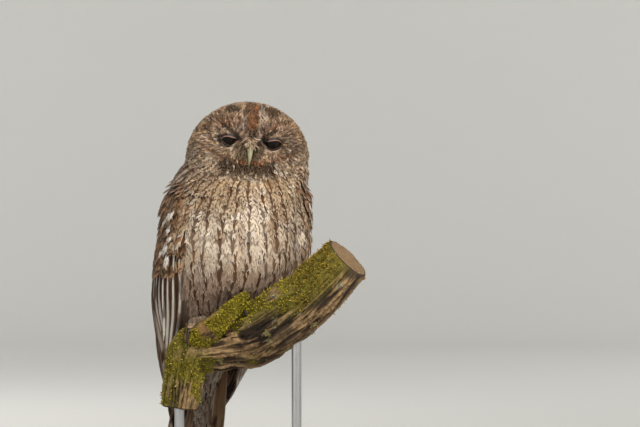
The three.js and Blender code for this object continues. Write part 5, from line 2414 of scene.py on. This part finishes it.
@dataclass
class Eye:
    """One eye with its lids nearly shut over it."""

    node: str
    out: float
    shift: float
    radius: float = 10.5
    lid: float = 0.85
    cut: Cut = Cut(rows=4, columns=3, root=0.7, tip=0.2, camber=0.5, depth=0.7, veer=0.2)

    def ball(self) -> None:
        """A ball that swells over a dark brown iris: the radius grows by a bell round the middle."""
        rise, turn = np.meshgrid(np.linspace(0.01, np.pi - 0.01, 64), circle(96), indexing="ij")
        d = vec(np.sin(rise) * np.cos(turn), -np.cos(rise), np.sin(rise) * np.sin(turn))
        radius = (self.radius - 0.45) * (1.0 + 0.03 * bell(rise, 0, 0.7))
        shape = closed_loft(box_centre(self.node) + (d * radius[..., None]) @ FACE.axes().T)
        iris = smooth(rise, 0.50, 0.54)[..., None]
        colour = mix(vec(0.004, 0.003, 0.003), vec(0.018, 0.009, 0.005), iris)
        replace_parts(publish(f"fine_{self.node}", shape.tinted(colour), WET, 180.0), self.node)

    def lid_shell(self, upper: bool) -> Shape:
        """One lid: a shell over the ball, whose sections run down outside, round the edge and up inside.

        Args:
            upper: Which lid.

        Returns:
            The shape, bare skin at the edge and dark above it.
        """
        outer, inner = self.radius + self.lid, self.radius + 0.12
        x = np.linspace(-1, 1, 61)[:, None] * 11.0
        edge = LIDS.at("upper" if upper else "lower", x - self.shift)
        sign = 1.0 if upper else -1.0
        far = sign * np.sqrt(np.maximum(inner**2 - x * x, 0.5)) * 0.97
        t = np.linspace(1, 0, 18) ** 1.5
        roll = np.linspace(0, np.pi, 7)[1:-1]
        share = np.concatenate([t, np.zeros(len(roll)), t[::-1]])
        depth = np.concatenate([np.zeros(len(t)), (1.0 - np.cos(roll)) / 2, np.ones(len(t))])
        lip = np.concatenate([0 * t, 0.5 * np.sin(roll), 0 * t])
        swell = bell(share, 0.06, 0.07) * (0.55 if upper else 0.3) * (1.0 - depth)
        z = mix(edge, far, share) - sign * lip
        radius = mix(outer, inner, depth) + swell
        y = -np.sqrt(np.maximum(radius**2 - x * x - z * z, 0.2))
        f = vec(-self.out * x, y, z)
        shape = closed_loft(box_centre(self.node) + f @ FACE.axes().T)
        pink, dark = vec(0.36, 0.20, 0.155), vec(0.012, 0.007, 0.006)
        rim = bell(share, 0.03, 0.045) * smooth(8.5 - np.abs(x - self.shift + 3.0), 0, 4)
        colour = mix(dark, pink, np.clip(1.3 * rim, 0.0, 1.0)[..., None] * (1.0 if upper else 0.1))
        return shape.tinted(colour)

    def lid_feathers(self, rng: Rng) -> Shape:
        """Tiny feathers over both lids, clear of their bare edges.

        Args:
            rng: The eye's random draws.

        Returns:
            All the feathers.
        """
        centre = box_centre(self.node)
        x, z = np.meshgrid(np.arange(-10.5, 10.5, 1.15), np.arange(-10.5, 10.5, 1.0))
        x, z = (a.ravel() + rng.normal(0, 0.3, a.size) for a in (x, z))
        upper, lower = LIDS.at("upper", x - self.shift), LIDS.at("lower", x - self.shift)
        keep = ((z > upper + 1.5) | (z < lower - 0.7)) & (np.hypot(x, z) < 10.6)
        x, z = x[keep], z[keep]
        f = vec(-self.out * x, -np.sqrt(np.maximum((self.radius + 1) ** 2 - x * x - z * z, 0.3)), z)
        roots = centre + f @ FACE.axes().T
        form = BallForm(centre, self.radius + self.lid + 0.5)
        count = len(x)
        length = rng.uniform(2.4, 3.8, count)
        ground = PATTERN.ground(roots) * rng.uniform(0.7, 1.1, (count, 1))
        near = np.exp(-np.minimum(np.abs(z - upper[keep]), np.abs(z - lower[keep])) / 2.2)
        face = FACE.inward(roots)
        ground = wash(ground, CREAM, 0.5 * smooth(z - upper[keep], 1, 3))
        line = np.clip(2.6 * PATTERN.wedge(np.abs(face[:, 0]), face[:, 2]), 0.0, 1.0) + 0.8 * near
        ground = wash(ground, DARK * 0.6, line)
        marks = vec(0.0, 0.0, rng.random(count))
        width, height = np.full(count, 1.15), rng.uniform(-0.2, 0.3, count)
        plumes = Batch(roots, length, width, ground, marks, PATTERN.unwrap(roots), height)
        return lay(form, LidLie(centre, self.out), plumes, self.cut, rng)

    def build(self) -> None:
        """Publishes the ball, the lids and their feathers."""
        rng = np.random.default_rng(SEED + 40 + int(self.out))
        self.ball()
        lids = Shape.join([self.lid_shell(True), self.lid_shell(False)])
        publish(f"lids_{self.node[4:]}", lids, BARE, 60.0)
        publish(f"coat_lids_{self.node[4:]}", self.lid_feathers(rng), DISC)


@dataclass
class Bill:
    """The hooked bill, its upper half closed over the lower."""

    width: float = 7.2
    depth: float = 9.4

    def half(self, points: Array, size: float, power: float, hook: float) -> Shape:
        """One half: a tube along points of the face, its radius closed by 1 - s^power, keeled along the top.

        Args:
            points: Points in the face's frame.
            size: Half the width at its root.
            power: How late it closes.
            hook: How sharp its keel is.

        Returns:
            The closed shape.
        """
        path = Path(FACE.outward(points), FACE.axes() @ vec(0.0, -1.0, 0.4))
        s, a = tube_grid(70, 48)
        radius = size * (1.0 - np.minimum(s, 0.998) ** power) + 0.2
        keel = 1.0 + hook * bell(np.minimum(a, 2 * np.pi - a), 0, 0.5)
        p = path.around(s, a, radius * keel, self.depth / self.width)
        shape = closed_loft(p)
        ridge = noise(vec(np.cos(a) * 3, np.sin(a) * 3, s * 5.0), 1, 81, 2)
        colour = wash(vec(0.09, 0.075, 0.042), vec(0.41, 0.40, 0.25), smooth(s, 0.4, 0.72))
        colour = wash(colour, vec(0.30, 0.23, 0.09), 0.4 * smooth(ridge, 0.1, 0.6))
        return shape.tinted(colour)

    def build(self) -> None:
        """Publishes both halves."""
        top = np.array([(0, 12, 1), (0, 4, -1.5), (0, -3.4, -6), (0, -6.5, -14), (0, -4.5, -23)], float)
        jaw = np.array([(0, 10, -11), (0, 1, -14.5), (0, -5.5, -19.5)], float)
        upper = self.half(top, self.width / 2, 2.6, 0.10)
        lower = self.half(jaw, self.width * 0.38, 2.0, 0.0)
        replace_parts(publish("fine_bill_upper", upper, HORN), "bill_upper")
        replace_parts(publish("fine_bill_lower", lower, HORN), "bill_lower")


# ---------- stand, light and camera ----------


@dataclass
class Stand:
    """A plain lacquered base with two steel rods that hold the limb."""

    bevel: float = 2.0
    corner: float = 60.0
    collar: float = 2.2

    def base(self) -> Shape:
        """A slab: a rounded rectangle whose edge runs up a quarter round at the foot and at the top.

        Returns:
            The closed shape.
        """
        lo, hi = (np.array(v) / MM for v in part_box("stand_base"))
        half = (hi - lo)[:2] / 2 - self.corner
        turn = circle(192)
        c, s = np.cos(turn), np.sin(turn)
        square = vec(np.sign(c) * half[0], np.sign(s) * half[1])
        ring = vec(c, s)
        q = np.linspace(0, np.pi / 2, 7)
        inset = np.concatenate([self.bevel * (1 - np.sin(q)), self.bevel * (1 - np.cos(q))])
        z = np.concatenate([lo[2] + self.bevel * (1 - np.cos(q)), hi[2] - self.bevel * (1 - np.sin(q))])
        inner = np.concatenate([[50.0, 30.0, 12.0], inset, [12.0, 30.0, 50.0]])
        z = np.concatenate([np.full(3, lo[2]), z, np.full(3, hi[2])])
        flat = square + ring * (self.corner - inner)[:, None, None]
        return closed_loft(vec(flat[..., 0], flat[..., 1], z[:, None]))

    def rod(self, node: str) -> Shape:
        """A rod with a low collar where it meets the base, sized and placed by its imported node.

        Args:
            node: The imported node's name.

        Returns:
            The rod and its collar.
        """
        lo, hi = (np.array(v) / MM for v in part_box(node))
        radius, height = (hi[0] - lo[0]) / 2, hi[2] - lo[2]
        wide, thin = radius + self.collar, radius - 0.15
        foot = np.array([0.3, 0.6, 0.9, 1.0, 1.0]) * wide
        r = np.concatenate([foot, [wide - 0.5, radius + 0.4, thin], np.full(30, thin)])
        z = np.concatenate([[0.0, 0.0, 0.0, 0.25, 2.2, 2.8, 3.1, 3.4], np.linspace(4, height + 6.0, 30)])
        turn = circle(64)
        ring = vec(np.cos(turn), np.sin(turn))
        flat = ring * r[:, None, None] + (lo + hi)[:2] / 2
        return closed_loft(vec(flat[..., 0], flat[..., 1], (lo[2] + z)[:, None]))

    def build(self) -> None:
        """Publishes the base and the rods."""
        base = publish("fine_stand_base", self.base(), LacquerFinish(), 30.0)
        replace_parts(base, "stand_base")
        for side in ("left", "right"):
            node = f"stand_rod_{side}"
            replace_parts(publish(f"fine_{node}", self.rod(node), SteelFinish(), 30.0), node)


@dataclass
class Studio:
    """A pale floor that curves up behind, soft lights, and a level camera with a long lens."""

    distance: float = 3556.0
    aim: tuple[float, float] = (89.0, 278.5)
    lens: float = 200.0
    flat: float = 4000.0
    bend: float = 1300.0
    wall: float = 2400.0

    def sweep(self) -> None:
        """The floor and backdrop in one: a profile turned full circle, flat, then an arc, then upright."""
        arc = np.linspace(0, np.pi / 2, 24)
        rise = self.flat + self.bend * np.sin(arc)
        r = np.concatenate([[1.0, 1200.0, 2600.0], rise, [self.flat + self.bend]])
        z = np.concatenate([[0.0, 0.0, 0.0], self.bend * (1.0 - np.cos(arc)), [self.wall]]) - 0.2
        turn = circle(96)[:, None]
        grid = np.stack(np.broadcast_arrays(r * np.cos(turn), r * np.sin(turn), z), -1).swapaxes(0, 1)
        faces = grid_faces(len(r), len(turn), True)
        hub = fan_faces(np.arange(len(turn)), grid.shape[0] * grid.shape[1])
        points = np.concatenate([grid.reshape(-1, 3), [[0.0, 0.0, -0.2]]]) * MM
        mesh = bpy.data.meshes.new("stage")
        mesh.from_pydata(points.tolist(), [], faces[:, ::-1].tolist() + hub[:, ::-1].tolist())
        mesh.polygons.foreach_set("use_smooth", np.ones(len(mesh.polygons), bool))
        mesh.materials.append(PaperFinish().material())
        add("stage", mesh)

    def light(
        self, name: str, place: Triple, target: Triple, size: float, watts: float, colour: Triple
    ) -> None:
        """A square area light that points at a target.

        Args:
            name: Its name.
            place: Where it is, in metres.
            target: What it points at.
            size: Its side.
            watts: Its power.
            colour: Its colour.
        """
        data = bpy.data.lights.new(name, "AREA")
        data.size, data.energy, data.color = size, watts, colour
        lamp = add(name, data)
        lamp.location = place
        direction = Vector(target) - Vector(place)
        lamp.rotation_euler = direction.to_track_quat("-Z", "Y").to_euler()

    def build(self) -> None:
        """Sets the stage."""
        self.sweep()
        owl = (0.02, 0.0, 0.26)
        self.light("key", (0.9, -1.6, 1.7), owl, 0.5, 56.0, (1.0, 0.94, 0.85))
        self.light("fill", (-1.9, -1.5, 0.7), owl, 1.6, 6.0, (0.95, 0.97, 1.0))
        self.light("rim", (-0.9, 1.4, 1.6), owl, 0.9, 24.0, (1.0, 0.98, 0.95))
        corners = {"wall_a": (1.0, 1.0), "wall_b": (-1.0, 1.0), "wall_c": (-1.0, -1.0), "wall_d": (1.0, -1.0)}
        for name, (x, y) in corners.items():
            self.light(name, (1.9 * x, 1.9 * y, 2.9), (3.5 * x, 3.9 * y, 0.7), 1.6, 88.0, (1.0, 0.99, 0.97))
        world = bpy.data.worlds.new("soft")
        world.use_nodes = True
        world.node_tree.nodes["Background"].inputs[0].default_value = (0.92, 0.94, 1.0, 1.0)
        world.node_tree.nodes["Background"].inputs[1].default_value = 0.07
        bpy.context.scene.world = world
        bpy.context.scene.view_settings.view_transform = "Standard"
        data = bpy.data.cameras.new("camera")
        data.lens, data.sensor_width = self.lens, 36.0
        data.clip_start, data.clip_end = 0.1, 30.0
        camera = add("camera", data)
        camera.location = (self.aim[0] * MM, -self.distance * MM, self.aim[1] * MM)
        camera.rotation_euler = (math.pi / 2, 0.0, 0.0)
        bpy.context.scene.camera = camera


def main() -> None:
    """Builds the owl, its perch and its stand."""
    logging.basicConfig(level=logging.INFO, format="%(name)s: %(message)s")
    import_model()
    feet = [Foot("right", 0.275), Foot("left", 0.465)]
    Skin().build(feet)
    for foot in feet:
        foot.claws()
    publish("coat_legs", Shape.join([foot.coat() for foot in feet]), TOE)
    parts = [BodyCoat(), HeadCoat(), Wing(-1, "right"), Wing(1, "left"), Tail()]
    parts += [Eye("eye_right", -1.0, 2.4), Eye("eye_left", 1.0, -0.2), Bill(), Perch(), Stand(), Studio()]
    for part in parts:
        part.build()


if __name__ == "__main__":
    main()
